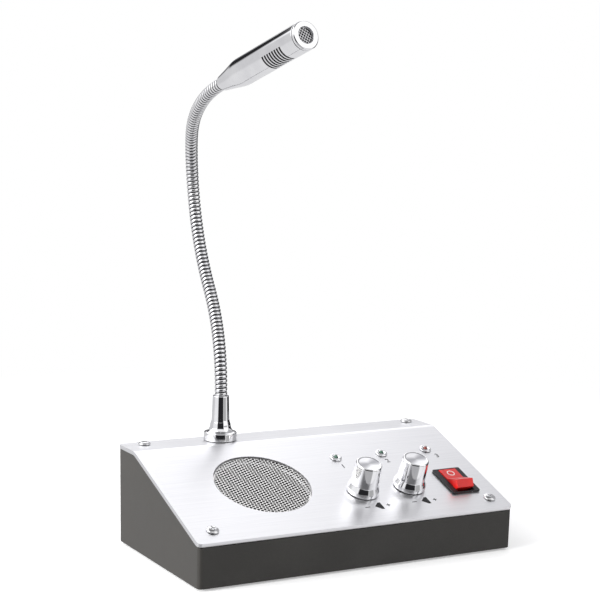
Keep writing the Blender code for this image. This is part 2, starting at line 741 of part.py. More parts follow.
def make_panel(material):
    """Folded metal plate with every opening cut through it."""
    ends = (
        Vector((0.0, PANEL_BACK_Y, TOP_Z)),
        Vector((0.0, FOLD_Y, TOP_Z)),
        slope_point(0.0, SLOPE_LENGTH),
    )
    low_front = slope_point(0.0, SLOPE_LENGTH, -PANEL_THICK)
    outline = [
        (ends[0].y, ends[0].z),
        (ends[1].y, ends[1].z),
        (ends[2].y, ends[2].z),
        (low_front.y, low_front.z),
        (FOLD_Y + PANEL_THICK * math.tan(SLOPE / 2), TOP_Z - PANEL_THICK),
        (PANEL_BACK_Y, TOP_Z - PANEL_THICK),
    ]
    shape = bmesh.new()
    prism(shape, outline, WIDTH / 2)

    def is_corner(a, b):
        return abs(a.x - b.x) < CORNER_TOLERANCE and (a - b).length < PANEL_THICK + CORNER_TOLERANCE

    bevel_where(shape, is_corner, PANEL_CORNER, ROUND_CORNER_STEPS)
    fold_y = (FOLD_Y - PANEL_THICK, FOLD_Y + PANEL_THICK)
    bevel_where(
        shape,
        lambda a, b: abs(a.x - b.x) > WIDTH / 2 and fold_y[0] < a.y < fold_y[1],
        FOLD_ROUND, ROUND_CORNER_STEPS,
    )
    panel = add_mesh("front_panel", shape, material)

    shape = bmesh.new()
    for place, tilt in screw_places():
        rod_at(shape, place, tilt, SCREW_HOLE_RADIUS, -PANEL_THICK - OVERRUN, OVERRUN)
    neck = Vector((NECK_X, NECK_Y, TOP_Z))
    rod_at(shape, neck, 0.0, FITTING_STUB + RUN_GAP, -PANEL_THICK - OVERRUN, OVERRUN)
    holes = [(x, LAMP_DOWN, BEZEL_TUBE + RUN_GAP, ROUND_SMALL) for x in COLUMNS]
    holes += [(x, KNOB_DOWN, POT_BUSH + RUN_GAP, ROUND_SMALL) for x in KNOB_COLUMNS]
    holes.append((SPEAKER_X, SPEAKER_DOWN, SPEAKER_OPENING, 2 * ROUND_FINE))
    for x, down, radius, steps in holes:
        rod_at(shape, slope_point(x, down), SLOPE, radius, -PANEL_THICK - OVERRUN, OVERRUN, steps)
    before = set(shape.verts)
    half_x = SWITCH_BODY_WIDTH / 2 + REST_GAP
    half_y = SWITCH_BODY_LENGTH / 2 + REST_GAP
    block(shape, (-half_x, -half_y, -PANEL_THICK - OVERRUN), (half_x, half_y, OVERRUN))
    fresh = [vert for vert in shape.verts if vert not in before]
    turn = Matrix.Translation(slope_point(COLUMNS[2], SWITCH_DOWN)) @ Matrix.Rotation(SLOPE, 4, "X")
    bmesh.ops.transform(shape, matrix=turn, verts=fresh)
    boolean(panel, hide(add_mesh("panel_holes", shape)))
    return panel


def make_feet(material):
    top = BASE_Z - REST_GAP
    profile = (
        (0.0, top), (FOOT_RADIUS, top), (FOOT_RADIUS, top - FOOT_EDGE),
        (FOOT_RADIUS * FOOT_SOLE_SHARE, 0.0), (0.0, 0.0),
    )
    number = 0
    for side in (-1, 1):
        for y in (HOUSING_FRONT_Y + FOOT_INSET_Y, HOUSING_BACK_Y - FOOT_INSET_Y):
            number += 1
            centre = (side * (WIDTH / 2 - FOOT_INSET_X), y)
            lathe("rubber_foot_%d" % number, profile, material, ROUND_SMALL, centre)


def make_grille(material, frame):
    """Pressed sheet whose raised middle fills the round opening, holes in a square grid."""
    top = -PANEL_THICK - REST_GAP
    centre = (SPEAKER_X, -SPEAKER_DOWN)
    crown = SPEAKER_OPENING - REST_GAP
    inside = crown - GRILLE_WALL
    sheet = (
        (0.0, GRILLE_RISE - GRILLE_THICK), (inside, GRILLE_RISE - GRILLE_THICK),
        (inside, -GRILLE_THICK), (GRILLE_RADIUS, -GRILLE_THICK), (GRILLE_RADIUS, 0.0),
        (crown, 0.0), (crown, GRILLE_RISE), (0.0, GRILLE_RISE),
    )
    grille = lathe("speaker_grille", sheet, material, 2 * ROUND, centre, top)
    shape = bmesh.new()
    half = GRILLE_HOLE / 2
    reach = inside * math.cos(math.pi / (2 * ROUND)) - GRILLE_WALL
    count = int(reach / GRILLE_PITCH) + 1
    for row in range(-count, count + 1):
        for column in range(-count, count + 1):
            x = column * GRILLE_PITCH
            y = row * GRILLE_PITCH
            if math.hypot(abs(x) + half, abs(y) + half) < reach:
                spot_x = SPEAKER_X + x
                spot_y = -SPEAKER_DOWN + y
                block(
                    shape,
                    (spot_x - half, spot_y - half, top - OVERRUN),
                    (spot_x + half, spot_y + half, top + GRILLE_RISE + OVERRUN),
                )
    boolean(grille, on_slope(hide(add_mesh("grille_holes", shape)), frame))
    return on_slope(grille, frame)


def make_speaker(materials, frame):
    """Loudspeaker glued behind the grille: basket, cone with its coil, magnet and yoke."""
    centre = (SPEAKER_X, -SPEAKER_DOWN)
    top = -PANEL_THICK - REST_GAP - GRILLE_THICK - REST_GAP
    rim_low = top - SPEAKER_RIM
    seat = top - SPEAKER_DEPTH
    basket = (
        (SPEAKER_RADIUS, top), (SPEAKER_RADIUS, rim_low),
        (SPEAKER_RADIUS - BASKET_WALL * 2, rim_low),
        (BASKET_FOOT, seat), (COIL_BORE, seat), (COIL_BORE, seat + BASKET_WALL),
        (BASKET_FOOT - BASKET_WALL, seat + BASKET_WALL),
        (SPEAKER_RADIUS - BASKET_WALL * 4, rim_low + BASKET_WALL / 2),
        (SPEAKER_RADIUS - BASKET_WALL * 4, rim_low + BASKET_WALL),
        (SPEAKER_RADIUS - BASKET_WALL * 3, top),
    )
    on_slope(lathe("speaker_basket", basket, materials["steel"], ROUND, centre), frame)

    edge = SPEAKER_RADIUS - BASKET_WALL * 4 - REST_GAP
    skin = rim_low + BASKET_WALL + REST_GAP + CONE_WALL
    throat = COIL_RADIUS
    throat_z = seat + COIL_RADIUS / 2
    roll = edge * CONE_ROLL_SHARE
    dust = throat * CONE_ROLL_SHARE
    coil_low = seat - YOKE_THICK * 2
    cone = (
        (0.0, throat_z + CONE_WALL * 2), (dust, throat_z + CONE_WALL),
        (throat, throat_z + CONE_WALL), (roll, skin - CONE_WALL), (edge, skin),
        (edge, skin - CONE_WALL), (roll, skin - CONE_WALL * 2), (throat, throat_z),
        (throat, coil_low), (throat - COIL_WALL, coil_low), (throat - COIL_WALL, throat_z),
        (dust, throat_z), (0.0, throat_z + CONE_WALL),
    )
    on_slope(lathe("speaker_cone", cone, materials["paper"], ROUND, centre), frame)

    plate = seat - REST_GAP
    back = plate - YOKE_THICK - MAGNET_THICK
    magnet = (
        (MAGNET_RADIUS, plate), (MAGNET_RADIUS, back + YOKE_THICK),
        (COIL_BORE, back + YOKE_THICK), (COIL_BORE, plate),
    )
    on_slope(lathe("speaker_magnet", magnet, materials["ferrite"], ROUND, centre), frame)
    yoke_top = back + YOKE_THICK - REST_GAP
    yoke = (
        (0.0, plate), (POLE_RADIUS, plate), (POLE_RADIUS, yoke_top),
        (MAGNET_RADIUS, yoke_top), (MAGNET_RADIUS, back - YOKE_THICK), (0.0, back - YOKE_THICK),
    )
    on_slope(lathe("speaker_yoke", yoke, materials["steel"], ROUND, centre), frame)


def make_lamps(materials, frame):
    """Three indicator lamps, each in a bright turned bezel."""
    names = ("call_lamp_left", "call_lamp_right", "power_lamp")
    tints = ("green_lens", "green_lens", "red_lens")
    floor = -BEZEL_DEPTH
    bore = LAMP_RADIUS + RUN_GAP
    for x, name, tint in zip(COLUMNS, names, tints):
        centre = (x, -LAMP_DOWN)
        ring = (
            (BEZEL_TUBE, floor), (BEZEL_TUBE, REST_GAP), (BEZEL_RADIUS, REST_GAP),
            *((BEZEL_RADIUS * out, REST_GAP + BEZEL_THICK * up) for out, up in BEZEL_RIM_SHARES),
            (bore, REST_GAP), (bore, floor),
        )
        on_slope(lathe(name + "_bezel", ring, materials["chrome"], ROUND_SMALL, centre), frame)
        base = floor - REST_GAP - LAMP_FLANGE / 2
        lens = (
            (0.0, base), (LAMP_FLANGE, base), (LAMP_FLANGE, floor - REST_GAP),
            (LAMP_RADIUS, floor - REST_GAP),
            *((LAMP_RADIUS * out, LAMP_SHOW + LAMP_DOME * up) for out, up in LAMP_DOME_SHARES),
        )
        lamp = on_slope(lathe(name, lens, materials[tint], ROUND_TINY, centre), frame)
        shape = bmesh.new()
        for side in (-1, 1):
            leg_x = x + side * LAMP_RADIUS / 2
            low = base - LAMP_LEG_LENGTH
            block(
                shape,
                (leg_x - LAMP_LEG, -LAMP_DOWN - LAMP_LEG, low),
                (leg_x + LAMP_LEG, -LAMP_DOWN + LAMP_LEG, base + LAMP_LEG),
            )
        boolean(lamp, on_slope(hide(add_mesh(name + "_legs", shape)), frame), "UNION")


def make_controls(materials, frame):
    """Two volume controls: body, nut, turning shaft and knob."""
    under = -PANEL_THICK - REST_GAP
    for x, side in zip(KNOB_COLUMNS, ("left", "right")):
        centre = (x, -KNOB_DOWN)
        well = under - POT_DEPTH / 2
        bore = POT_SHAFT + RUN_GAP
        body = (
            (0.0, under - POT_DEPTH), (POT_RADIUS, under - POT_DEPTH), (POT_RADIUS, under),
            (POT_BUSH, under), (POT_BUSH, POT_BUSH_RISE), (bore, POT_BUSH_RISE),
            (bore, well), (0.0, well),
        )
        on_slope(lathe("volume_control_" + side, body, materials["zinc"], ROUND, centre), frame)
        low = well + REST_GAP
        hub = empty("hub_" + side, slope_point(x, KNOB_DOWN), frame)
        rod = ((0.0, low), (POT_SHAFT, low), (POT_SHAFT, POT_SHAFT_TOP), (0.0, POT_SHAFT_TOP))
        shaft = lathe("control_shaft_" + side, rod, materials["zinc"], ROUND_SMALL)
        shaft.parent = hub
        hole = POT_BUSH + RUN_GAP
        nut_top = REST_GAP + POT_NUT_THICK
        hexagon(
            "control_nut_" + side, POT_NUT, hole, REST_GAP, nut_top, materials["zinc"], centre, frame,
        )
        bottom = KNOB_LIFT
        top = bottom + KNOB_HEIGHT
        profile = (
            (0.0, top), (KNOB_BODY_TOP - KNOB_EDGE, top), (KNOB_BODY_TOP, top - KNOB_EDGE),
            (KNOB_BODY_FOOT, bottom + KNOB_FLARE_HEIGHT),
            ((KNOB_BODY_FOOT + KNOB_SKIRT) / 2, bottom + KNOB_SKIRT_HEIGHT + KNOB_EDGE),
            (KNOB_SKIRT, bottom + KNOB_SKIRT_HEIGHT), (KNOB_SKIRT, bottom),
            (KNOB_CAVITY, bottom), (KNOB_CAVITY, bottom + KNOB_CAVITY_HEIGHT),
            (bore, bottom + KNOB_CAVITY_HEIGHT + KNOB_EDGE), (bore, KNOB_BORE_TOP),
            (0.0, KNOB_BORE_TOP),
        )
        knob = lathe("volume_knob_" + side, profile, materials["chrome"], ROUND_FINE)
        knob.parent = hub
        mark = hide(box(
            "knob_mark_" + side,
            (-KNOB_MARK_WIDTH / 2, -KNOB_SKIRT - OVERRUN, bottom - OVERRUN),
            (KNOB_MARK_WIDTH / 2, -KNOB_SKIRT + KNOB_MARK_DEPTH, bottom + KNOB_SKIRT_HEIGHT),
        ))
        mark.parent = hub
        boolean(knob, mark)


def empty(name, place, frame=None):
    """A marker on a joint's axis, turned like the sloped panel."""
    thing = bpy.data.objects.new(name, None)
    bpy.context.scene.collection.objects.link(thing)
    thing.location = place
    if frame:
        thing.rotation_euler = frame.rotation_euler
    return thing


def make_switch(materials, frame):
    """Rocker switch: body with its rim and blades, and the rocker on two moulded pins."""
    x = COLUMNS[2]
    rim_low = REST_GAP
    rim_top = rim_low + SWITCH_RIM
    low = rim_low - SWITCH_BODY_DEPTH
    shape = bmesh.new()
    half_x, half_y = SWITCH_WIDTH / 2, SWITCH_LENGTH / 2
    block(shape, (x - half_x, -SWITCH_DOWN - half_y, rim_low), (x + half_x, -SWITCH_DOWN + half_y, rim_top))
    bevel_where(
        shape,
        lambda a, b: (a - b).length < SWITCH_WIDTH / 2,
        SWITCH_CORNER, ROUND_CORNER_STEPS - 1,
    )
    body = on_slope(add_mesh("switch_body", shape, materials["black"]), frame)
    core_x, core_y = SWITCH_BODY_WIDTH / 2, SWITCH_BODY_LENGTH / 2
    core = on_slope(hide(box(
        "switch_core",
        (x - core_x, -SWITCH_DOWN - core_y, low),
        (x + core_x, -SWITCH_DOWN + core_y, rim_low + SWITCH_RIM / 2),
    )), frame)
    boolean(body, core, "UNION")

    pivot_z = rim_top - ROCKER_PIVOT_DROP
    half = ROCKER_LENGTH / 2
    rise = ROCKER_MID_RISE + ROCKER_PIVOT_DROP
    tip = rise + half * math.tan(ROCKER_SWING)
    sweep = math.hypot(half, tip) + REST_GAP
    well_x = ROCKER_WIDTH / 2 + REST_GAP
    depth = ROCKER_FOOT_DROP + ROCKER_PIN * 2
    floor = pivot_z - depth
    well = on_slope(hide(box(
        "switch_well",
        (x - well_x, -SWITCH_DOWN - sweep, floor),
        (x + well_x, -SWITCH_DOWN + sweep, rim_top + OVERRUN),
    )), frame)
    boolean(body, well)
    shape = bmesh.new()
    pin_half = ROCKER_WIDTH / 2 + ROCKER_PIN_REACH + REST_GAP
    bearing = ROCKER_PIN + RUN_GAP
    pin_profile = ((0.0, -pin_half), (bearing, -pin_half), (bearing, pin_half), (0.0, pin_half))
    turned(shape, pin_profile, ROUND_TINY)
    turn = Matrix.Translation((x, -SWITCH_DOWN, pivot_z)) @ Matrix.Rotation(math.pi / 2, 4, "Y")
    bmesh.ops.transform(shape, matrix=turn, verts=shape.verts)
    boolean(body, on_slope(hide(add_mesh("switch_bearings", shape)), frame))

    flank_y = math.hypot(half, tip) * math.cos(ROCKER_FLANK)
    flank_z = math.hypot(half, tip) * math.sin(ROCKER_FLANK)
    outline = [
        (-half, tip), (0.0, rise), (half, tip), (flank_y, flank_z),
        (ROCKER_FOOT_LENGTH / 2, -ROCKER_FOOT_DROP), (-ROCKER_FOOT_LENGTH / 2, -ROCKER_FOOT_DROP),
        (-flank_y, flank_z),
    ]
    shape = bmesh.new()
    prism(shape, outline, ROCKER_WIDTH / 2)
    rocker = add_mesh("switch_rocker", shape, materials["red"])
    shape = bmesh.new()
    reach = ROCKER_WIDTH / 2 + ROCKER_PIN_REACH
    turned(shape, ((0.0, -reach), (ROCKER_PIN, -reach), (ROCKER_PIN, reach), (0.0, reach)), ROUND_TINY)
    bmesh.ops.transform(shape, matrix=Matrix.Rotation(math.pi / 2, 4, "Y"), verts=shape.verts)
    pins = hide(add_mesh("rocker_pins", shape))
    hub = empty("rocker_hub", slope_point(x, SWITCH_DOWN, pivot_z), frame)
    hub.rotation_euler = (SLOPE - ROCKER_SWING, 0.0, 0.0)
    rocker.parent = hub
    pins.parent = hub
    boolean(rocker, pins, "UNION")

    shape = bmesh.new()
    for side_x in (-1, 1):
        for side_y in (-1, 1):
            blade_x = x + side_x * BLADE_SPREAD_X
            blade_y = -SWITCH_DOWN + side_y * BLADE_SPREAD_Y
            block(
                shape,
                (blade_x - BLADE_WIDTH / 2, blade_y - BLADE_THICK / 2, low - BLADE_LENGTH),
                (blade_x + BLADE_WIDTH / 2, blade_y + BLADE_THICK / 2, low + BLADE_THICK),
            )
    boolean(body, on_slope(hide(add_mesh("switch_blades", shape)), frame), "UNION")


def make_fitting(materials):
    """Flared fitting that holds the gooseneck, with its washer and nut below the panel."""
    base = TOP_Z + REST_GAP
    socket = NECK_CREST + REST_GAP
    top = TOP_Z + FITTING_HEIGHT
    seat = top - NECK_INSERT - REST_GAP
    flare_top = base + FITTING_FLANGE_HEIGHT * 2
    profile = [
        (FITTING_BORE, TOP_Z - FITTING_STUB_LENGTH), (FITTING_STUB, TOP_Z - FITTING_STUB_LENGTH),
        (FITTING_STUB, base), (FITTING_FLANGE, base),
        (FITTING_FLANGE, base + FITTING_FLANGE_HEIGHT - FITTING_EDGE),
        (FITTING_FLANGE - FITTING_EDGE, base + FITTING_FLANGE_HEIGHT),
    ]
    spread = FITTING_FLANGE - FITTING_EDGE - FITTING_FLARE
    rise = flare_top - base - FITTING_FLANGE_HEIGHT
    for step in range(1, FITTING_FLARE_STEPS + 1):
        turn = math.pi / 2 * step / FITTING_FLARE_STEPS
        profile.append((
            FITTING_FLARE + spread * (1.0 - math.sin(turn)),
            base + FITTING_FLANGE_HEIGHT + rise * (1.0 - math.cos(turn)),
        ))
    profile += [
        (FITTING_SLEEVE_FOOT, flare_top + FITTING_FLANGE_HEIGHT / 2),
        (FITTING_SLEEVE_TOP, top - FITTING_EDGE), (FITTING_SLEEVE_TOP - FITTING_EDGE / 2, top),
        (socket, top), (socket, seat), (FITTING_BORE, seat),
    ]
    centre = (NECK_X, NECK_Y)
    lathe("neck_fitting", profile, materials["chrome"], ROUND, centre)
    under = TOP_Z - PANEL_THICK - REST_GAP
    hole = FITTING_STUB + RUN_GAP
    washer = (
        (hole, -FITTING_WASHER_THICK), (FITTING_WASHER, -FITTING_WASHER_THICK),
        (FITTING_WASHER, 0.0), (hole, 0.0),
    )
    lathe("fitting_washer", washer, materials["zinc"], ROUND, centre, under)
    nut_top = under - FITTING_WASHER_THICK - REST_GAP
    nut_low = nut_top - FITTING_NUT_THICK
    hexagon("fitting_nut", FITTING_NUT, hole, nut_low, nut_top, materials["zinc"], centre)


def make_neck(materials, neck):
    """Ribbed hose in stretches; each ends in a ball that sits in the next one's cup."""
    last = len(NECK_STRETCHES) - 1
    for index, (length, _, _) in enumerate(NECK_STRETCHES):
        run = length + (MIC_START if index == last else 0.0)
        ribs = round(run / RIB_PITCH)
        spots = [run * step / (2 * ribs) for step in range(2 * ribs + 1)]
        radii = [NECK_CREST if step % 2 else NECK_ROOT for step in range(2 * ribs + 1)]
        if index > 0:
            radii[1] = NECK_ROOT
        else:
            spots = [-NECK_INSERT] + spots
            radii = [NECK_ROOT] + radii
        if index == last:
            spots.append(length + MIC_SOCKET)
            radii.append(NECK_ROOT)
        points = [neck.at(index, spot)[0] for spot in spots]
        name = "neck_stretch_%d" % (index + 1)
        hose = tube(name, points, NECK_CREST, materials["chrome"], radii)
        start = neck.at(index, 0.0)
        finish = neck.at(index, length)
        if index < last:
            crown = hide(ball(name + "_ball", BALL_RADIUS))
            stand(crown, *finish)
            boolean(hose, crown, "UNION")
        if index > 0:
            cup = hide(ball(name + "_cup", CUP_RADIUS))
            stand(cup, *start)
            boolean(hose, cup)
        first = -NECK_INSERT - OVERRUN if index == 0 else -OVERRUN
        reach = length + (CUP_RADIUS if index < last else MIC_SOCKET) + OVERRUN
        bore = hide(tube(name + "_bore", neck.points(index, first, reach, LEAD_STEP), NECK_BORE))
        boolean(hose, bore)

    for index in range(1, last + 1):
        length = NECK_STRETCHES[index][0]
        first = CUP_RADIUS + REST_GAP
        reach = length + (BALL_RADIUS - REST_GAP if index < last else 0.0)
        points = neck.points(index, first, reach, LEAD_STEP)
        tube("neck_lead_%d" % (index + 1), points, LEAD_RADIUS, materials["cable"])


def make_head(materials, neck):
    """Microphone head on the end of the neck: shell, cap, mesh, capsule and holder."""
    place, frame = neck.end, neck.end_frame
    socket = NECK_ROOT + REST_GAP
    inner = MIC_RADIUS - MIC_WALL
    cap_z = MIC_LENGTH - CAP_LENGTH
    tail_wall = MIC_TAIL_RADIUS - socket
    seat = MIC_SOCKET + REST_GAP
    out, along = MIC_SHOULDER_SHARES
    shell = (
        (MIC_TAIL_RADIUS - tail_wall / 2, MIC_START), (MIC_TAIL_RADIUS, MIC_START + tail_wall / 2),
        (
            MIC_TAIL_RADIUS + (MIC_RADIUS - MIC_TAIL_RADIUS) * out,
            MIC_START + (MIC_TAPER - MIC_START) * along,
        ),
        (MIC_RADIUS, MIC_TAPER), (MIC_RADIUS, cap_z - REST_GAP), (inner, cap_z - REST_GAP),
        (inner, MIC_TAPER), (MIC_TAIL_RADIUS, seat + MIC_WALL), (NECK_BORE, seat + MIC_WALL),
        (NECK_BORE, seat), (socket, seat), (socket, MIC_START),
    )
    body = lathe("mic_shell", shell, materials["chrome"], ROUND)
    stand(body, place, frame)
    shape = bmesh.new()
    steps = MIC_SLOT_FACETS
    outer_cut = MIC_RADIUS + OVERRUN
    inner_cut = inner - MIC_WALL / 3
    for number in range(MIC_SLOT_COUNT):
        low = MIC_SLOT_FIRST + number * MIC_SLOT_PITCH - MIC_SLOT_WIDTH / 2
        for side in (-1, 1):
            middle = math.pi / 2 * (1 + side) + side * MIC_SLOT_TILT
            first = middle - MIC_SLOT_SPAN / 2
            rows = []
            for radius in (inner_cut, outer_cut):
                for z in (low, low + MIC_SLOT_WIDTH):
                    rows.append([
                        shape.verts.new((
                            radius * math.cos(first + MIC_SLOT_SPAN * i / steps),
                            radius * math.sin(first + MIC_SLOT_SPAN * i / steps), z,
                        )) for i in range(steps + 1)
                    ])
            order = (rows[0], rows[1], rows[3], rows[2])
            for near, far in zip(order, order[1:] + order[:1]):
                for i in range(steps):
                    shape.faces.new((near[i], near[i + 1], far[i + 1], far[i]))
            for i in (0, steps):
                shape.faces.new([row[i] for row in order])
    slots = hide(add_mesh("mic_slots", shape))
    stand(slots, place, frame)
    boolean(body, slots)

    spigot = inner - REST_GAP
    spigot_bore = CAPSULE_RADIUS + REST_GAP
    face_low = MIC_LENGTH - CAP_FACE_THICK
    cap = (
        (spigot_bore, cap_z - CAP_SPIGOT), (spigot, cap_z - CAP_SPIGOT), (spigot, cap_z),
        (MIC_RADIUS, cap_z), (MIC_RADIUS, MIC_LENGTH - CAP_FACE_EDGE),
        (MIC_RADIUS - CAP_FACE_EDGE, MIC_LENGTH), (CAP_OPENING, MIC_LENGTH),
        (CAP_OPENING - MIC_WALL / 2, face_low), (spigot_bore, face_low),
    )
    stand(lathe("mic_cap", cap, materials["chrome"], ROUND), place, frame)

    mesh_top = face_low - REST_GAP
    mesh_radius = CAPSULE_RADIUS
    disc = (
        (0.0, mesh_top - MESH_THICK), (mesh_radius, mesh_top - MESH_THICK),
        (mesh_radius, mesh_top), (0.0, mesh_top),
    )
    mesh = lathe("mic_mesh", disc, materials["steel"], ROUND_SMALL)
    stand(mesh, place, frame)
    shape = bmesh.new()
    half = MESH_HOLE / 2
    for row in range(-MESH_REACH, MESH_REACH + 1):
        for column in range(-MESH_REACH, MESH_REACH + 1):
            x = column * MESH_PITCH
            y = row * MESH_PITCH
            if math.hypot(x, y) + MESH_HOLE < CAP_OPENING:
                block(
                    shape,
                    (x - half, y - half, mesh_top - MESH_THICK - OVERRUN),
                    (x + half, y + half, mesh_top + OVERRUN),
                )
    pores = hide(add_mesh("mesh_pores", shape))
    stand(pores, place, frame)
    boolean(mesh, pores)

    can_top = mesh_top - MESH_THICK - REST_GAP
    can_low = can_top - CAPSULE_LENGTH
    can = ((0.0, can_low), (CAPSULE_RADIUS, can_low), (CAPSULE_RADIUS, can_top), (0.0, can_top))
    stand(lathe("mic_capsule", can, materials["aluminium"], ROUND_SMALL), place, frame)
    holder_top = cap_z - CAP_SPIGOT - REST_GAP
    holder_low = holder_top - HOLDER_LENGTH
    outer = inner - REST_GAP
    collar = CAPSULE_RADIUS + REST_GAP
    collar_low = can_low - REST_GAP
    holder = (
        (outer, holder_low), (outer, holder_top), (collar, holder_top), (collar, collar_low),
        (LEAD_RADIUS * 2, collar_low), (LEAD_RADIUS * 2, collar_low - HOLDER_WALL),
        (outer - HOLDER_WALL, collar_low - HOLDER_WALL), (outer - HOLDER_WALL, holder_low),
    )
    stand(lathe("capsule_holder", holder, materials["rubber"], ROUND), place, frame)


def make_board(materials):
    """Main board with its sockets, amplifier, capacitors, headers and screws."""
    board = box(
        "main_board",
        (BOARD_LEFT_X, BOARD_FRONT_Y, BOARD_Z), (BOARD_RIGHT_X, BOARD_BACK_Y, BOARD_TOP_Z),
        materials["board"],
    )
    shape = bmesh.new()
    for x, y in board_screw_spots():
        spot = Vector((x, y, BOARD_Z))
        rod_at(shape, spot, 0.0, SCREW_HOLE_RADIUS, -OVERRUN, BOARD_THICK + OVERRUN)
    boolean(board, hide(add_mesh("board_holes", shape)))
    places = [(Vector((x, y, PART_Z)), 0.0) for x, y in board_screw_spots()]
    make_screws("board_screw", places, materials["zinc"])

    nose = RECESS_FACE_Y - REST_GAP
    half = POWER_SIZE / 2
    power = box(
        "power_socket",
        (POWER_X - half, nose - POWER_DEPTH, PART_Z), (POWER_X + half, nose, PART_Z + POWER_SIZE),
        materials["black"],
    )
    centre = Vector((POWER_X, nose, PART_Z + half))
    shape = bmesh.new()
    turned(shape, (
        (0.0, -OVERRUN), (POWER_BORE, -OVERRUN), (POWER_BORE, POWER_BORE_DEPTH),
        (0.0, POWER_BORE_DEPTH),
    ), ROUND_SMALL)
    face_out = Matrix.Translation(centre) @ Matrix.Rotation(math.pi / 2, 4, "X")
    bmesh.ops.transform(shape, matrix=face_out, verts=shape.verts)
    boolean(power, hide(add_mesh("power_bore", shape)))
    shape = bmesh.new()
    turned(shape, (
        (0.0, POWER_PIN_SET), (POWER_PIN, POWER_PIN_SET),
        (POWER_PIN, POWER_BORE_DEPTH + POWER_PIN),
        (0.0, POWER_BORE_DEPTH + POWER_PIN),
    ), ROUND_TINY)
    bmesh.ops.transform(shape, matrix=face_out, verts=shape.verts)
    boolean(power, hide(add_mesh("power_pin", shape)), "UNION")

    for x, side in zip(AUDIO_X, ("left", "right")):
        middle = Vector((x, RECESS_FACE_Y, PART_Z + AUDIO_HEIGHT / 2))
        turn = Matrix.Translation(middle) @ Matrix.Rotation(math.pi / 2, 4, "X")
        back = WALL + REST_GAP
        proud = AUDIO_NUT_THICK + REST_GAP
        socket = box(
            "audio_socket_" + side,
            (x - AUDIO_WIDTH / 2, RECESS_FACE_Y - back - AUDIO_DEPTH, PART_Z),
            (x + AUDIO_WIDTH / 2, RECESS_FACE_Y - back, PART_Z + AUDIO_HEIGHT),
            materials["black"],
        )
        for name, radius, low, high, kind in (
            ("bush", AUDIO_BUSH, -proud, back + OVERRUN, "UNION"),
            ("bore", AUDIO_BORE, -proud - OVERRUN, back + AUDIO_DEPTH * AUDIO_BORE_SHARE, "DIFFERENCE"),
        ):
            shape = bmesh.new()
            turned(shape, ((0.0, low), (radius, low), (radius, high), (0.0, high)), ROUND_SMALL)
            bmesh.ops.transform(shape, matrix=turn, verts=shape.verts)
            boolean(socket, hide(add_mesh("audio_%s_%s" % (name, side), shape)), kind)
        hole = AUDIO_BUSH + RUN_GAP
        shape = bmesh.new()
        turned(shape, (
            (hole, -AUDIO_NUT_THICK), (AUDIO_NUT - AUDIO_NUT_CHAMFER, -AUDIO_NUT_THICK),
            (AUDIO_NUT, AUDIO_NUT_CHAMFER - AUDIO_NUT_THICK), (AUDIO_NUT, -REST_GAP),
            (hole, -REST_GAP),
        ), ROUND_SMALL)
        bmesh.ops.transform(shape, matrix=turn, verts=shape.verts)
        add_mesh("audio_nut_" + side, shape, materials["zinc"])

    root = BOARD_TOP_Z - BOARD_THICK / 2
    shape = bmesh.new()
    for (x, y), radius, height in zip(CAN_PLACES, CAN_RADII, CAN_HEIGHTS):
        turned(shape, (
            (0.0, root), (radius, root), (radius, PART_Z + height - radius / 8),
            (radius - radius / 12, PART_Z + height), (0.0, PART_Z + height),
        ), SCREW_FACETS, (x, y))
    block(
        shape,
        (CHIP_X - CHIP_WIDTH / 2, CHIP_Y - CHIP_DEPTH / 2, root),
        (CHIP_X + CHIP_WIDTH / 2, CHIP_Y + CHIP_DEPTH / 2, PART_Z + CHIP_HEIGHT),
    )
    for x, y in HEADER_PLACES:
        block(
            shape,
            (x - HEADER_WIDTH / 2, y - HEADER_DEPTH / 2, root),
            (x + HEADER_WIDTH / 2, y + HEADER_DEPTH / 2, PART_Z + HEADER_HEIGHT),
        )
    boolean(board, hide(add_mesh("board_parts", shape)), "UNION")

    shape = bmesh.new()
    sink_x = CHIP_X - CHIP_WIDTH / 2
    sink_y = CHIP_Y - CHIP_DEPTH / 2 - REST_GAP
    block(shape, (sink_x, sink_y - SINK_DEPTH, PART_Z), (sink_x + CHIP_WIDTH, sink_y, PART_Z + SINK_HEIGHT))
    sink = add_mesh("heat_sink", shape, materials["aluminium"])
    shape = bmesh.new()
    pitch = CHIP_WIDTH / SINK_FINS
    slot = pitch * SINK_FIN_SHARE
    for number in range(SINK_FINS):
        slot_x = sink_x + pitch * (number + 0.5) - slot / 2
        block(
            shape,
            (slot_x, sink_y - SINK_DEPTH - OVERRUN, PART_Z - OVERRUN),
            (slot_x + slot, sink_y - SINK_BACK, PART_Z + SINK_HEIGHT + OVERRUN),
        )
    boolean(sink, hide(add_mesh("sink_slots", shape)))


def make_lead(material, neck):
    """Microphone lead from its header, up through the fitting, to the first ball of the neck."""
    x, y = HEADER_PLACES[0]
    plug = Vector((x, y, PART_Z + HEADER_HEIGHT + REST_GAP))
    rise = Vector((0.0, 0.0, HEADER_HEIGHT))
    stub = Vector((NECK_X, NECK_Y, TOP_Z - FITTING_STUB_LENGTH - FITTING_STUB))
    lower = [plug] + smooth_line([plug + rise, (plug + rise + stub) / 2, stub], LEAD_LOOP_POINTS)
    reach = NECK_STRETCHES[0][0] + BALL_RADIUS - REST_GAP
    upper = neck.points(0, -NECK_INSERT, reach, LEAD_STEP)
    middle = Vector((NECK_X, NECK_Y, TOP_Z))
    tube("neck_lead_1", lower + [middle] + upper, LEAD_RADIUS, material)


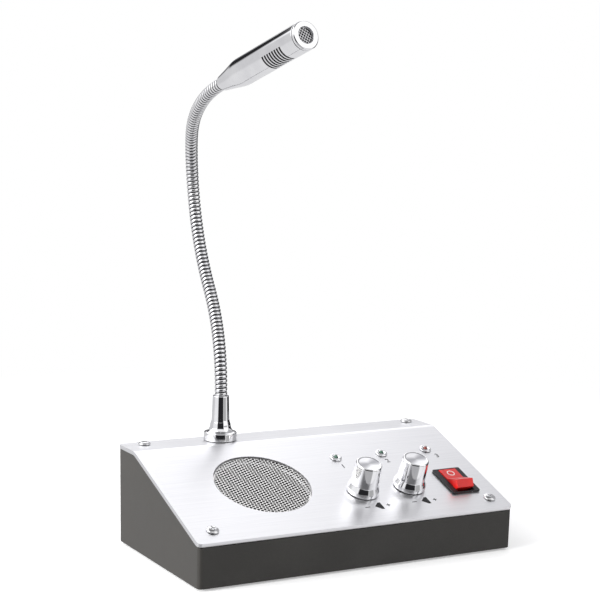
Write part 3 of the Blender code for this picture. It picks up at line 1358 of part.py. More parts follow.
def main():
    clear_scene()
    materials = {
        "housing": make_material("housing_plastic", (0.045, 0.042, 0.038), 0.55, 0.0),
        "panel": make_material("brushed_panel", (0.80, 0.80, 0.83), 0.32, 1.0),
        "chrome": make_material("chrome", (0.86, 0.86, 0.88), 0.08, 1.0),
        "steel": make_material("steel", (0.55, 0.55, 0.56), 0.35, 1.0),
        "zinc": make_material("zinc_plate", (0.66, 0.66, 0.67), 0.3, 1.0),
        "black": make_material("black_plastic", (0.02, 0.02, 0.022), 0.45, 0.0),
        "red": make_material("red_plastic", (0.70, 0.03, 0.025), 0.3, 0.0),
        "rubber": make_material("rubber", (0.02, 0.02, 0.02), 0.8, 0.0),
        "green_lens": make_material("green_lens", (0.10, 0.24, 0.18), 0.12, 0.0),
        "red_lens": make_material("red_lens", (0.42, 0.07, 0.06), 0.12, 0.0),
        "paper": make_material("cone_paper", (0.03, 0.03, 0.03), 0.85, 0.0),
        "ferrite": make_material("ferrite", (0.08, 0.08, 0.085), 0.6, 0.2),
        "board": make_material("circuit_board", (0.03, 0.20, 0.08), 0.5, 0.0),
        "aluminium": make_material("aluminium", (0.7, 0.7, 0.72), 0.35, 1.0),
        "cable": make_material("cable_sleeve", (0.03, 0.03, 0.03), 0.6, 0.0),
    }
    frame = empty("slope_frame", (0.0, FOLD_Y, TOP_Z))
    frame.rotation_euler = (SLOPE, 0.0, 0.0)
    bpy.context.view_layer.update()
    neck = Neck()
    make_housing(materials["housing"])
    make_panel(materials["panel"])
    make_feet(materials["rubber"])
    make_screws("panel_screw", screw_places(), materials["zinc"])
    make_grille(materials["steel"], frame)
    make_speaker(materials, frame)
    make_lamps(materials, frame)
    make_controls(materials, frame)
    make_switch(materials, frame)
    make_fitting(materials)
    make_neck(materials, neck)
    make_head(materials, neck)
    make_board(materials)
    make_lead(materials["cable"], neck)


main()
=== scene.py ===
"""Looks of the window intercom: finer pieces, finishes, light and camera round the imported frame.

Lengths are metres, +Z is up, +X runs along the width and -Y faces the person who speaks.
"""

import logging
import math
from contextlib import contextmanager
from dataclasses import dataclass, field
from enum import Enum
from typing import Callable, Dict, Iterator, List, Optional, Sequence, Tuple, Union

import bpy
from mathutils import Matrix, Quaternion, Vector


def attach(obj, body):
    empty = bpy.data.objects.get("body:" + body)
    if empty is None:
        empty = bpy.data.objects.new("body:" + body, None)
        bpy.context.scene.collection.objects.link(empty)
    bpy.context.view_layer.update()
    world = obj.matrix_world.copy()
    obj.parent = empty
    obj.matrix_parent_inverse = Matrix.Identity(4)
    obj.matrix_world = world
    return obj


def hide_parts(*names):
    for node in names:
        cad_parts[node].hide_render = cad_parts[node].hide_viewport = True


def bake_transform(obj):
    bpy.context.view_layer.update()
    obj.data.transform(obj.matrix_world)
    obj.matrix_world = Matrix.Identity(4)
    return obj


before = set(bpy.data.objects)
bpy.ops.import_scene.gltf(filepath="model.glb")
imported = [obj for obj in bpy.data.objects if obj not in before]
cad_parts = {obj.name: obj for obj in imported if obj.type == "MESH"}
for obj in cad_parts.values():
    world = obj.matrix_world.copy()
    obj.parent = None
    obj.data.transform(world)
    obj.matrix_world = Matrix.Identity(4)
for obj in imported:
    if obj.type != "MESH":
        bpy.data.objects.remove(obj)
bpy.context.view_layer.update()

log = logging.getLogger("window_intercom")
MM = 0.001
MERGE = 0.002 * MM  # points nearer than this become one
PRINCIPLED = "Principled BSDF"
BASE = "base"

Point = Tuple[float, float]
Colour = Tuple[float, float, float]
Limits = Tuple[float, float, float]
Piece = bpy.types.Object


# Modelling tools


def deselect() -> None:
    """Deselect every object."""
    bpy.ops.object.select_all(action="DESELECT")


def activate(piece: Piece) -> None:
    """Select one piece alone and make it active.

    Args:
        piece: The object to work on.
    """
    deselect()
    piece.select_set(True)
    bpy.context.view_layer.objects.active = piece


@contextmanager
def editing(piece: Piece, whole: bool = True) -> Iterator[None]:
    """Hold a piece in edit mode.

    Args:
        piece: The object to edit.
        whole: Whether all of it is selected, or what was selected before.
    """
    activate(piece)
    bpy.ops.object.mode_set(mode="EDIT")
    if whole:
        bpy.ops.mesh.select_all(action="SELECT")
    try:
        yield
    finally:
        bpy.ops.object.mode_set(mode="OBJECT")


def settle(piece: Piece, place: Optional[Matrix] = None) -> Piece:
    """Move a piece to its place and write that place into its mesh.

    Args:
        piece: The object to place.
        place: Its matrix in the world, or None to leave it where it is.

    Returns:
        The same piece, at the origin.
    """
    if place is not None:
        piece.matrix_world = place @ piece.matrix_world
    activate(piece)
    bpy.ops.object.transform_apply(location=True, rotation=True, scale=True)
    return piece


def mend(piece: Piece) -> Piece:
    """Merge doubled points and turn every face outwards.

    Args:
        piece: A closed mesh.

    Returns:
        The same piece.
    """
    with editing(piece):
        bpy.ops.mesh.remove_doubles(threshold=MERGE)
        bpy.ops.mesh.normals_make_consistent(inside=False)
    return piece


def smooth(piece: Piece, angle: float = 32.0) -> Piece:
    """Shade a piece smooth, apart from its sharper edges.

    Args:
        piece: The object to shade.
        angle: Degrees between faces up to which their edge is smooth.

    Returns:
        The same piece.
    """
    activate(piece)
    bpy.ops.object.shade_smooth_by_angle(angle=math.radians(angle))
    return piece


def crisp(piece: Piece, angle: float = 50.0) -> Piece:
    """Shade smooth with the large faces kept flat, and give the piece back."""
    return apply(smooth(piece, angle), "WEIGHTED_NORMAL", keep_sharp=True, weight=100)


def apply(piece: Piece, kind: str, **settings: object) -> Piece:
    """Add one modifier, set it and apply it.

    Args:
        piece: The object to change.
        kind: The modifier's type.
        settings: The modifier's values.

    Returns:
        The same piece.
    """
    step = piece.modifiers.new(kind.lower(), kind)
    for name, value in settings.items():
        setattr(step, name, value)
    activate(piece)
    bpy.ops.object.modifier_apply(modifier=step.name)
    return piece


def discard(*pieces: Piece) -> None:
    """Remove tools and patterns that have done their work."""
    for piece in pieces:
        bpy.data.objects.remove(piece, do_unlink=True)


def carve(piece: Piece, tool: Piece, operation: str = "DIFFERENCE") -> Piece:
    """Cut, join or cross a piece with a tool, and remove the tool.

    Args:
        piece: The object to change.
        tool: The object it is changed by.
        operation: DIFFERENCE, UNION or INTERSECT.

    Returns:
        The piece.
    """
    apply(piece, "BOOLEAN", object=tool, operation=operation, solver="EXACT")
    discard(tool)
    return piece


def named(name: str) -> Piece:
    """Name the active object and its mesh.

    Args:
        name: The name of both.

    Returns:
        The object.
    """
    piece = bpy.context.view_layer.objects.active
    piece.name = name
    piece.data.name = name
    return piece


def outline(name: str, points: Sequence[Sequence[float]]) -> Piece:
    """Draw a chain of points by extruding one point on from the last.

    Args:
        name: The object's name.
        points: World points of the chain.

    Returns:
        An object of edges alone.
    """
    deselect()
    bpy.ops.mesh.primitive_plane_add(size=MM)
    piece = named(name)
    with editing(piece):
        bpy.ops.mesh.merge(type="CENTER")
        bpy.ops.transform.translate(value=tuple(points[0]))
        for before, after in zip(points, points[1:]):
            step = tuple(b - a for a, b in zip(before, after))
            bpy.ops.mesh.extrude_vertices_move(TRANSFORM_OT_translate={"value": step})
    return piece


def softened(corners: Sequence[Tuple[float, float, float]], steps: int = 4) -> List[Point]:
    """Round the corners of a chain of (radius, height, rounding).

    Args:
        corners: The chain, each corner with the length that its rounding takes.
        steps: Points on each rounding.

    Returns:
        The rounded chain.
    """
    points: List[Point] = []
    for index, (radius, height, rounding) in enumerate(corners):
        here = Vector((radius, height))
        if rounding <= 0.0 or index in (0, len(corners) - 1):
            points.append((radius, height))
            continue
        back = Vector(corners[index - 1][:2]) - here
        onward = Vector(corners[index + 1][:2]) - here
        first = here + back.normalized() * min(rounding, back.length * 0.49)
        last = here + onward.normalized() * min(rounding, onward.length * 0.49)
        for step in range(steps + 1):
            t = step / steps
            spot = first * (1 - t) ** 2 + here * (2 * t * (1 - t)) + last * t ** 2
            points.append((spot.x, spot.y))
    return points


def turned(name: str, profile: Sequence[Point], steps: int, closed: bool = False) -> Piece:
    """Spin a profile of (radius, height) round the upright axis.

    Args:
        name: The object's name.
        profile: The chain of points, from the axis back to the axis unless closed.
        steps: Facets round the piece.
        closed: Whether the chain joins its own start, round a bore.

    Returns:
        A closed mesh.
    """
    chain = [(radius, 0.0, height) for radius, height in profile]
    if closed:
        chain.append(chain[0])
    piece = outline(name, chain)
    with editing(piece):
        bpy.ops.mesh.spin(
            steps=steps, angle=math.tau, center=(0.0, 0.0, 0.0), axis=(0.0, 0.0, 1.0)
        )
    return smooth(mend(piece))


def brick(name: str, low: Sequence[float], high: Sequence[float]) -> Piece:
    """A box between two corners, used as a cutting tool or a start.

    Args:
        name: The object's name.
        low: The corner with the smallest coordinates.
        high: The corner with the largest.

    Returns:
        The box, its place in its mesh.
    """
    size = [b - a for a, b in zip(low, high)]
    middle = [(a + b) / 2 for a, b in zip(low, high)]
    deselect()
    bpy.ops.mesh.primitive_cube_add(size=1.0, location=middle)
    piece = named(name)
    piece.scale = size
    return settle(piece)


def linked(name: str, data: bpy.types.ID) -> Piece:
    """A new object in the scene, named like its data.

    Args:
        name: The name of both.
        data: A mesh, curve, light or camera.

    Returns:
        The object.
    """
    data.name = name
    item = bpy.data.objects.new(name, data)
    bpy.context.scene.collection.objects.link(item)
    return item


def copy_of(node: str, name: str) -> Piece:
    """A merged copy of a CAD node's mesh.

    Args:
        node: The node's name.
        name: The copy's name.

    Returns:
        The copy, with its own mesh and no parent.
    """
    piece = linked(name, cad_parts[node].data.copy())
    piece.data.materials.clear()
    for face in piece.data.polygons:
        face.use_smooth = False
    activate(piece)
    bpy.ops.mesh.customdata_custom_splitnormals_clear()
    with editing(piece):
        bpy.ops.mesh.remove_doubles(threshold=MERGE)
        bpy.ops.mesh.dissolve_limited(angle_limit=math.radians(0.5))
    return piece


def twin(pattern: Piece, name: str, place: Matrix) -> Piece:
    """A copy of a pattern at the origin, with its own mesh, moved by a matrix."""
    return settle(linked(name, pattern.data.copy()), place)


# Shader tools


class Wire:
    """A shader socket; Python operators on it add Math nodes."""

    def __init__(self, graph: "Graph", socket: bpy.types.NodeSocket) -> None:
        """Keep the graph and the output socket."""
        self.graph = graph
        self.socket = socket

    def __add__(self, other: "Signal") -> "Wire":
        """Sum of two signals."""
        return self.graph.sums("ADD", self, other)

    def __radd__(self, other: float) -> "Wire":
        """Sum with a number on the left."""
        return self.graph.sums("ADD", other, self)

    def __sub__(self, other: "Signal") -> "Wire":
        """Difference of two signals."""
        return self.graph.sums("SUBTRACT", self, other)

    def __rsub__(self, other: float) -> "Wire":
        """Number less this signal."""
        return self.graph.sums("SUBTRACT", other, self)

    def __mul__(self, other: "Signal") -> "Wire":
        """Product of two signals."""
        return self.graph.sums("MULTIPLY", self, other)

    def __rmul__(self, other: float) -> "Wire":
        """Product with a number on the left."""
        return self.graph.sums("MULTIPLY", other, self)

    def __pow__(self, other: "Signal") -> "Wire":
        """Power of a signal."""
        return self.graph.sums("POWER", self, other)

    def __abs__(self) -> "Wire":
        """Size of a signal without its sign."""
        return self.graph.sums("ABSOLUTE", self, 0.0)

    def __lt__(self, other: "Signal") -> "Wire":
        """One where this signal is the smaller."""
        return self.graph.sums("LESS_THAN", self, other)

    def __gt__(self, other: "Signal") -> "Wire":
        """One where this signal is the larger."""
        return self.graph.sums("GREATER_THAN", self, other)


Signal = Union[Wire, float]
Values = Dict[Union[str, int], object]


class Graph:
    """The nodes of one material or of the world."""

    def __init__(self, tree: bpy.types.NodeTree) -> None:
        """Keep the node tree."""
        self.tree = tree

    def node(
        self, kind: str, settings: Optional[Dict[str, object]] = None, inputs: Optional[Values] = None
    ) -> bpy.types.Node:
        """Add one node.

        Args:
            kind: The node's type.
            settings: Its properties, set before its sockets.
            inputs: Values or wires by socket name or number.

        Returns:
            The node.
        """
        item = self.tree.nodes.new(kind)
        for name, value in (settings or {}).items():
            setattr(item, name, value)
        self.feed(item, inputs or {})
        return item

    def feed(self, item: bpy.types.Node, values: Values) -> None:
        """Set or link sockets of a node.

        Args:
            item: The node.
            values: Numbers, colours, vectors or wires by socket name or number.
        """
        for name, value in values.items():
            socket = item.inputs[name]
            if isinstance(value, Wire):
                self.tree.links.new(value.socket, socket)
            elif socket.type == "RGBA":
                socket.default_value = (*value, 1.0)
            else:
                socket.default_value = value

    def wire(self, item: bpy.types.Node, output: Union[str, int] = 0) -> Wire:
        """One output of a node as a wire."""
        return Wire(self, item.outputs[output])

    def signal(
        self, kind: str, settings: Optional[Dict[str, object]] = None, inputs: Optional[Values] = None,
        output: Union[str, int] = 0,
    ) -> Wire:
        """One output of a new node as a wire."""
        return self.wire(self.node(kind, settings, inputs), output)

    def sums(self, operation: str, first: Signal, second: Signal) -> Wire:
        """The result of one Math node."""
        return self.signal("ShaderNodeMath", {"operation": operation}, {0: first, 1: second})

    def place(self, kind: str = "POINT", **inputs: Sequence[float]) -> Wire:
        """Object coordinates through a Mapping node with a Location, Rotation or Scale."""
        where = self.signal("ShaderNodeTexCoord", output="Object")
        return self.signal("ShaderNodeMapping", {"vector_type": kind}, {"Vector": where, **inputs})

    def split(self, vector: Wire) -> Tuple[Wire, Wire, Wire]:
        """The three parts of a vector."""
        item = self.node("ShaderNodeSeparateXYZ", None, {"Vector": vector})
        return self.wire(item, "X"), self.wire(item, "Y"), self.wire(item, "Z")

    def noise(self, vector: Wire, scale: float, detail: float = 3.0, rough: float = 0.55) -> Wire:
        """Smooth noise from 0 to 1, its scale being the number of features in a metre."""
        inputs = {"Vector": vector, "Scale": scale, "Detail": detail, "Roughness": rough}
        return self.signal("ShaderNodeTexNoise", None, inputs)

    def cells(self, vector: Wire, scale: float) -> Wire:
        """Distance to the nearest cell point, for moulded grain."""
        return self.signal("ShaderNodeTexVoronoi", None, {"Vector": vector, "Scale": scale}, "Distance")

    def ease(self, value: Wire, low: float, high: float, start: float = 0.0, end: float = 1.0) -> Wire:
        """A signal taken smoothly from start to end while it goes from low to high."""
        inputs = {0: value, 1: low, 2: high, 3: start, 4: end}
        return self.signal("ShaderNodeMapRange", {"interpolation_type": "SMOOTHSTEP"}, inputs)

    def tint(self, share: Signal, first: object, second: object) -> Wire:
        """A colour between two colours or wires, with a share of the second."""
        return self.signal("ShaderNodeMix", {"data_type": "RGBA"}, {0: share, 6: first, 7: second}, 2)

    def mixed(self, share: Signal, first: Wire, second: Wire) -> Wire:
        """A shader between two, with a share of the second."""
        return self.signal("ShaderNodeMixShader", None, {0: share, 1: first, 2: second})

    def bump(self, height: Wire, strength: float, depth: float) -> Wire:
        """A normal from a height, of which one unit is a depth in metres."""
        inputs = {"Height": height, "Strength": strength, "Distance": depth}
        return self.signal("ShaderNodeBump", None, inputs)


def fresh_material(name: str) -> Tuple[bpy.types.Material, Graph, bpy.types.Node]:
    """An empty Principled material.

    Args:
        name: The material's name.

    Returns:
        The material, its graph and its Principled node.
    """
    material = bpy.data.materials.new(name)
    material.use_nodes = True
    graph = Graph(material.node_tree)
    return material, graph, graph.tree.nodes[PRINCIPLED]


def laid_over(
    material: bpy.types.Material, mask: Callable[[Graph], Wire], colour: Colour
) -> bpy.types.Material:
    """Lay one more colour over a finished material.

    Args:
        material: The material.
        mask: Gives the share of the new colour, on the material's graph.
        colour: The new colour.

    Returns:
        The same material.
    """
    graph = Graph(material.node_tree)
    shader = graph.tree.nodes[PRINCIPLED]
    body = Wire(graph, shader.inputs["Base Color"].links[0].from_socket)
    graph.feed(shader, {"Base Color": graph.tint(mask(graph), body, colour)})
    return material


# Finishes


@dataclass(frozen=True)
class Brushed:
    """Sheet metal brushed along the width."""

    name: str
    colour: Colour
    dark: Colour
    roughness: float = 0.34
    streak: Tuple[float, float, float] = (26.0, 2600.0, 2600.0)

    def make(self) -> bpy.types.Material:
        """Make the material.

        Returns:
            The finished material.
        """
        material, graph, shader = fresh_material(self.name)
        fine = graph.noise(graph.place(Scale=self.streak), 1.0, 4.0, 0.6)
        broad = graph.noise(graph.place(), 14.0, 2.0)
        bright = graph.ease(fine * 0.7 + broad * 0.3, 0.3, 0.7)
        graph.feed(shader, {
            "Base Color": graph.tint(bright, self.dark, self.colour),
            "Metallic": 1.0,
            "Roughness": fine * 0.16 + broad * 0.05 + (self.roughness - 0.1),
            "Normal": graph.bump(fine, 0.25, 0.02 * MM),
        })
        return material


@dataclass(frozen=True)
class Moulded:
    """Spark-grained moulded plastic."""

    name: str
    colour: Colour
    worn: Colour
    roughness: float = 0.5
    grain: float = 1400.0
    depth: float = 0.04 * MM

    def make(self) -> bpy.types.Material:
        """Make the material.

        Returns:
            The finished material.
        """
        material, graph, shader = fresh_material(self.name)
        spot = graph.place()
        pits = graph.cells(spot, self.grain)
        cloud = graph.noise(spot, 30.0, 4.0)
        speck = graph.noise(spot, self.grain, 2.0)
        wear = graph.ease(cloud * 0.6 + speck * 0.4, 0.35, 0.68)
        graph.feed(shader, {
            "Base Color": graph.tint(wear, self.colour, self.worn),
            "Roughness": graph.ease(cloud, 0.25, 0.75, self.roughness - 0.05, self.roughness + 0.06),
            "Normal": graph.bump(pits + speck * 0.5, 0.35, self.depth),
        })
        return material


@dataclass(frozen=True)
class Plated:
    """Bright plating, polished or drawn."""

    name: str
    colour: Colour
    dark: Colour
    roughness: float = 0.06
    smear: float = 0.05

    def make(self) -> bpy.types.Material:
        """Make the material.

        Returns:
            The finished material.
        """
        material, graph, shader = fresh_material(self.name)
        spot = graph.place()
        cloud = graph.noise(spot, 90.0, 3.0)
        fine = graph.noise(spot, 2200.0, 2.0)
        rough = self.roughness, self.roughness + self.smear
        graph.feed(shader, {
            "Base Color": graph.tint(graph.ease(cloud, 0.3, 0.72), self.dark, self.colour),
            "Metallic": 1.0,
            "Roughness": graph.ease(cloud * 0.6 + fine * 0.4, 0.35, 0.7, *rough),
            "Normal": graph.bump(fine, 0.08, 0.006 * MM),
        })
        return material


@dataclass(frozen=True)
class Shaded(Plated):
    """Plating whose colour a named attribute of the mesh darkens: painted shade in the hose's hollows, and a
    painted reflection pattern on the knob tops.
    """

    attribute: str = ""
    low: float = 0.0
    high: float = 1.0
    shade: Colour = (0.03, 0.03, 0.032)

    def make(self) -> bpy.types.Material:
        """The finished material."""
        return laid_over(super().make(), self.mask, self.shade)

    def mask(self, graph: Graph) -> Wire:
        """Where the attribute is high."""
        value = graph.signal("ShaderNodeAttribute", {"attribute_name": self.attribute}, output="Fac")
        return graph.ease(value, self.low, self.high)


@dataclass(frozen=True)
class Gloss:
    """Glossy moulded plastic."""

    name: str
    colour: Colour
    deep: Colour
    roughness: float = 0.22
    coat: float = 0.3

    def make(self) -> bpy.types.Material:
        """Make the material.

        Returns:
            The finished material.
        """
        material, graph, shader = fresh_material(self.name)
        spot = graph.place()
        cloud = graph.noise(spot, 160.0, 3.0)
        fine = graph.noise(spot, 1500.0, 2.0)
        graph.feed(shader, {
            "Base Color": graph.tint(graph.ease(cloud, 0.3, 0.75), self.deep, self.colour),
            "Roughness": graph.ease(fine, 0.3, 0.7, self.roughness, self.roughness + 0.06),
            "Coat Weight": self.coat,
            "Coat Roughness": 0.08,
            "Normal": graph.bump(fine, 0.1, 0.01 * MM),
        })
        return material


@dataclass(frozen=True)
class MarkedRocker(Gloss):
    """Red rocker with a plain ring on one facet and a bar on the other."""

    ink: Colour = (0.85, 0.82, 0.80)
    away: float = 5.4 * MM
    reach: float = 2.3 * MM
    ring_line: float = 0.32 * MM
    bar_line: float = 0.34 * MM
    top: float = 5.0 * MM

    def make(self) -> bpy.types.Material:
        """The finished material."""
        return laid_over(super().make(), self.mask, self.ink)

    def mask(self, graph: Graph) -> Wire:
        """Where the ring and the bar are, on the rocker's upper side.

        Args:
            graph: The material's graph.

        Returns:
            One on the marks and zero off them.
        """
        turn = (Unit.slope - Switch.swing, 0.0, 0.0)
        x, y, z = graph.split(graph.place("TEXTURE", Location=tuple(Switch.pivot()), Rotation=turn))
        ring_y = y - self.away
        radius = (x * x + ring_y * ring_y) ** 0.5
        ring = abs(radius - self.reach) < self.ring_line
        bar = (abs(x) < self.bar_line) * (abs(y + self.away) < self.reach)
        return graph.sums("MINIMUM", (ring + bar) * (z > self.top), 1.0)


@dataclass(frozen=True)
class Board:
    """Solder mask with copper runs, and dark parts above it."""

    name: str
    top: float = 12.6 * MM

    def make(self) -> bpy.types.Material:
        """Make the material.

        Returns:
            The finished material.
        """
        material, graph, shader = fresh_material(self.name)
        spot = graph.place()
        height = graph.split(spot)[2]
        wave = graph.signal(
            "ShaderNodeTexWave", {"wave_type": "BANDS", "bands_direction": "DIAGONAL"},
            {"Vector": spot, "Scale": 70.0, "Distortion": 3.0, "Detail": 1.0}, 1,
        )
        runs = graph.ease(wave, 0.45, 0.55)
        mask = graph.tint(runs, (0.010, 0.085, 0.030), (0.025, 0.16, 0.055))
        parts = graph.tint(graph.noise(spot, 60.0), (0.02, 0.02, 0.025), (0.10, 0.10, 0.12))
        graph.feed(shader, {
            "Base Color": graph.tint(height > self.top, mask, parts),
            "Roughness": graph.ease(runs, 0.0, 1.0, 0.42, 0.3),
            "Normal": graph.bump(runs, 0.3, 0.03 * MM),
        })
        return material


class Finish(Enum):
    """Every finish on the unit."""

    PANEL = Brushed("brushed_panel", (0.90, 0.90, 0.915), (0.80, 0.80, 0.82), 0.36)
    HOUSING = Moulded("housing_plastic", (0.025, 0.0235, 0.021), (0.033, 0.031, 0.028), 0.42)
    CHROME = Plated("bright_chrome", (0.93, 0.93, 0.94), (0.84, 0.84, 0.86), 0.05)
    # Painted shade: the hose's plating is darkened towards the root of each hollow between its wound turns.
    HOSE = Shaded("hose_chrome", (0.92, 0.92, 0.93), (0.82, 0.82, 0.84), 0.12, 0.06, "groove_shade", 0.05, 0.55)
    # Painted reflection: the knob tops are darkened in a bow-tie that stands in for how spun metal reflects.
    KNOB = Shaded(
        "knob_chrome", (0.93, 0.93, 0.94), (0.86, 0.86, 0.88), 0.05, 0.05, "spun_reflection", 0.4, 1.1, (0.36, 0.36, 0.38)
    )
    SCREW = Plated("screw_plate", (0.86, 0.86, 0.87), (0.72, 0.72, 0.73), 0.16)
    ZINC = Plated("zinc_plate", (0.76, 0.77, 0.78), (0.62, 0.63, 0.65), 0.24)
    GRILLE = Brushed("grille_sheet", (0.96, 0.955, 0.94), (0.88, 0.87, 0.855), 0.30, (300.0, 300.0, 300.0))
    STEEL = Brushed("plain_sheet", (0.62, 0.62, 0.63), (0.50, 0.50, 0.52), 0.38, (400.0, 400.0, 400.0))
    BLACK = Moulded("black_moulding", (0.008, 0.008, 0.010), (0.014, 0.014, 0.017), 0.55, 2200.0, 0.02 * MM)
    ROCKER = MarkedRocker("red_rocker", (0.76, 0.014, 0.012), (0.66, 0.011, 0.009), 0.34, 0.10)
    GREEN = Gloss("green_lens", (0.07, 0.15, 0.11), (0.03, 0.08, 0.05), 0.06, 0.6)
    RED = Gloss("red_lens", (0.22, 0.05, 0.04), (0.13, 0.03, 0.025), 0.06, 0.6)
    RUBBER = Moulded("foot_rubber", (0.016, 0.016, 0.016), (0.030, 0.029, 0.028), 0.72, 900.0)
    PAPER = Moulded("cone_paper", (0.012, 0.012, 0.012), (0.024, 0.023, 0.022), 0.85, 1800.0)
    FERRITE = Moulded("magnet_ferrite", (0.05, 0.05, 0.052), (0.09, 0.09, 0.092), 0.55, 1200.0)
    CABLE = Moulded("cable_sleeve", (0.015, 0.015, 0.015), (0.028, 0.028, 0.028), 0.5, 1600.0)
    FIN = Brushed("fin_metal", (0.74, 0.74, 0.76), (0.62, 0.62, 0.64), 0.34, (900.0, 40.0, 900.0))
    FELT = Moulded("capsule_felt", (0.010, 0.010, 0.010), (0.020, 0.020, 0.020), 0.9, 2500.0)
    BOARD = Board("circuit_board")
    PRINT = Moulded("print_ink", (0.010, 0.010, 0.011), (0.018, 0.018, 0.020), 0.65, 3000.0, 0.005 * MM)
    PALE_PRINT = Moulded("pale_ink", (0.55, 0.55, 0.54), (0.62, 0.62, 0.60), 0.55, 3000.0, 0.005 * MM)


_made: Dict[Finish, bpy.types.Material] = {}


def dress(piece: Piece, finish: Finish) -> None:
    """Give a piece one finish.

    Args:
        piece: The object to dress.
        finish: The finish.
    """
    if finish not in _made:
        _made[finish] = finish.value.make()
    piece.data.materials.clear()
    piece.data.materials.append(_made[finish])


def fit(piece: Piece, body: str, finish: Finish, slot: str, *nodes: str) -> None:
    """Dress a finished piece, put it on its body and report it.

    Args:
        piece: The object.
        body: The CAD body that it rides on.
        finish: Its finish.
        slot: The record's material slot; not used.
        nodes: The CAD nodes that it stands for.
    """
    dress(piece, finish)
    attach(piece, body)
    if nodes:
        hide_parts(*nodes)
    log.info("%s: %d faces on %s", piece.name, len(piece.data.polygons), body)


# Sub-assemblies


class Unit:
    """Sizes and places that the sub-assemblies share."""

    slope: float = math.radians(20.76)
    top_z: float = 62.9 * MM
    fold_y: float = 33.5 * MM
    recess_y: float = 49.3 * MM
    gap: float = 0.3 * MM
    columns: Tuple[float, float, float] = (18.1 * MM, 52.1 * MM, 86.1 * MM)
    sockets: Tuple[float, float, float] = (29.1 * MM, 51.0 * MM, 76.4 * MM)

    @classmethod
    def on_slope(cls, x: float, down: float, height: float = 0.0) -> Matrix:
        """Place on the sloped panel, at a distance down from the fold and a height off the face."""
        fold = Matrix.Translation((0.0, cls.fold_y, cls.top_z)) @ Matrix.Rotation(cls.slope, 4, "X")
        return fold @ Matrix.Translation((x, -down, height))

    @classmethod
    def on_recess(cls, x: float, up: float, height: float = 0.0) -> Matrix:
        """Place on the rear recess's wall, at a distance up from the desk and a height off the wall."""
        return Matrix.Translation((x, cls.recess_y + height, up)) @ Matrix.Rotation(-math.pi / 2, 4, "X")


@dataclass
class Edged:
    """A softened copy of a CAD node: bevelled where faces meet at more than the limit, in degrees."""

    node: str
    name: str
    finish: Finish
    slot: str
    width: float
    limit: float
    segments: int = 2
    crease: float = 50.0
    body: str = BASE

    def build(self) -> None:
        """Copy the node, bevel it and fit it."""
        piece = copy_of(self.node, self.name)
        apply(
            piece, "BEVEL", width=self.width, segments=self.segments, limit_method="ANGLE",
            angle_limit=math.radians(self.limit), use_clamp_overlap=True,
        )
        fit(crisp(piece, self.crease), self.body, self.finish, self.slot, self.node)


@dataclass
class Casing:
    """Folded panel, housing tray and panel screws."""

    shells: Tuple[Edged, ...] = (
        Edged("front_panel", "panel_plate", Finish.PANEL, "brushed_panel", 0.55 * MM, 40.0),
        Edged("housing", "housing_tray", Finish.HOUSING, "housing_plastic", 0.35 * MM, 50.0),
    )
    head: float = 3.8 * MM
    head_height: float = 1.6 * MM
    shank: float = 1.0 * MM
    shank_length: float = 9.0 * MM
    cross_reach: float = 2.1 * MM
    cross_half: float = 0.38 * MM
    cross_depth: float = 0.95 * MM
    screw_x: Tuple[float, float] = (-95.4 * MM, 98.5 * MM)
    rear_y: float = 50.3 * MM
    front_down: float = 87.1 * MM
    turns: Tuple[float, float] = (0.5, 0.9)  # of the crosses behind and in front, times the screw's number

    def build(self) -> None:
        """Make and dress every piece of the casing."""
        for shell in self.shells:
            shell.build()
        self.screws()

    def screws(self) -> None:
        """Four cross-head screws, modelled once and copied."""
        pattern = turned("panel_screw_pattern", softened((
            (0.0, -self.shank_length, 0.0),
            (self.shank, -self.shank_length, 0.2 * MM),
            (self.shank, 0.0, 0.0),
            (self.head, 0.0, 0.15 * MM),
            (self.head, self.head_height * 0.4, 0.5 * MM),
            (self.head * 0.62, self.head_height, 1.2 * MM),
            (0.0, self.head_height * 1.02, 0.0),
        )), 40)
        low, high = self.head_height - self.cross_depth, self.head_height + MM
        for wide, deep in ((self.cross_reach, self.cross_half), (self.cross_half, self.cross_reach)):
            carve(pattern, brick("cross_arm", (-wide, -deep, low), (wide, deep, high)))
        smooth(pattern, 30.0)
        number = 0
        for x in self.screw_x:
            rear = Matrix.Translation((x, self.rear_y, Unit.top_z + Unit.gap))
            front = Unit.on_slope(x, self.front_down, Unit.gap)
            for place, turn in zip((rear, front), self.turns):
                number += 1
                place = place @ Matrix.Rotation(turn * number, 4, "Z")
                screw = twin(pattern, "cross_screw_%d" % number, place)
                fit(screw, BASE, Finish.SCREW, "zinc", "panel_screw_%d" % number)
        discard(pattern)


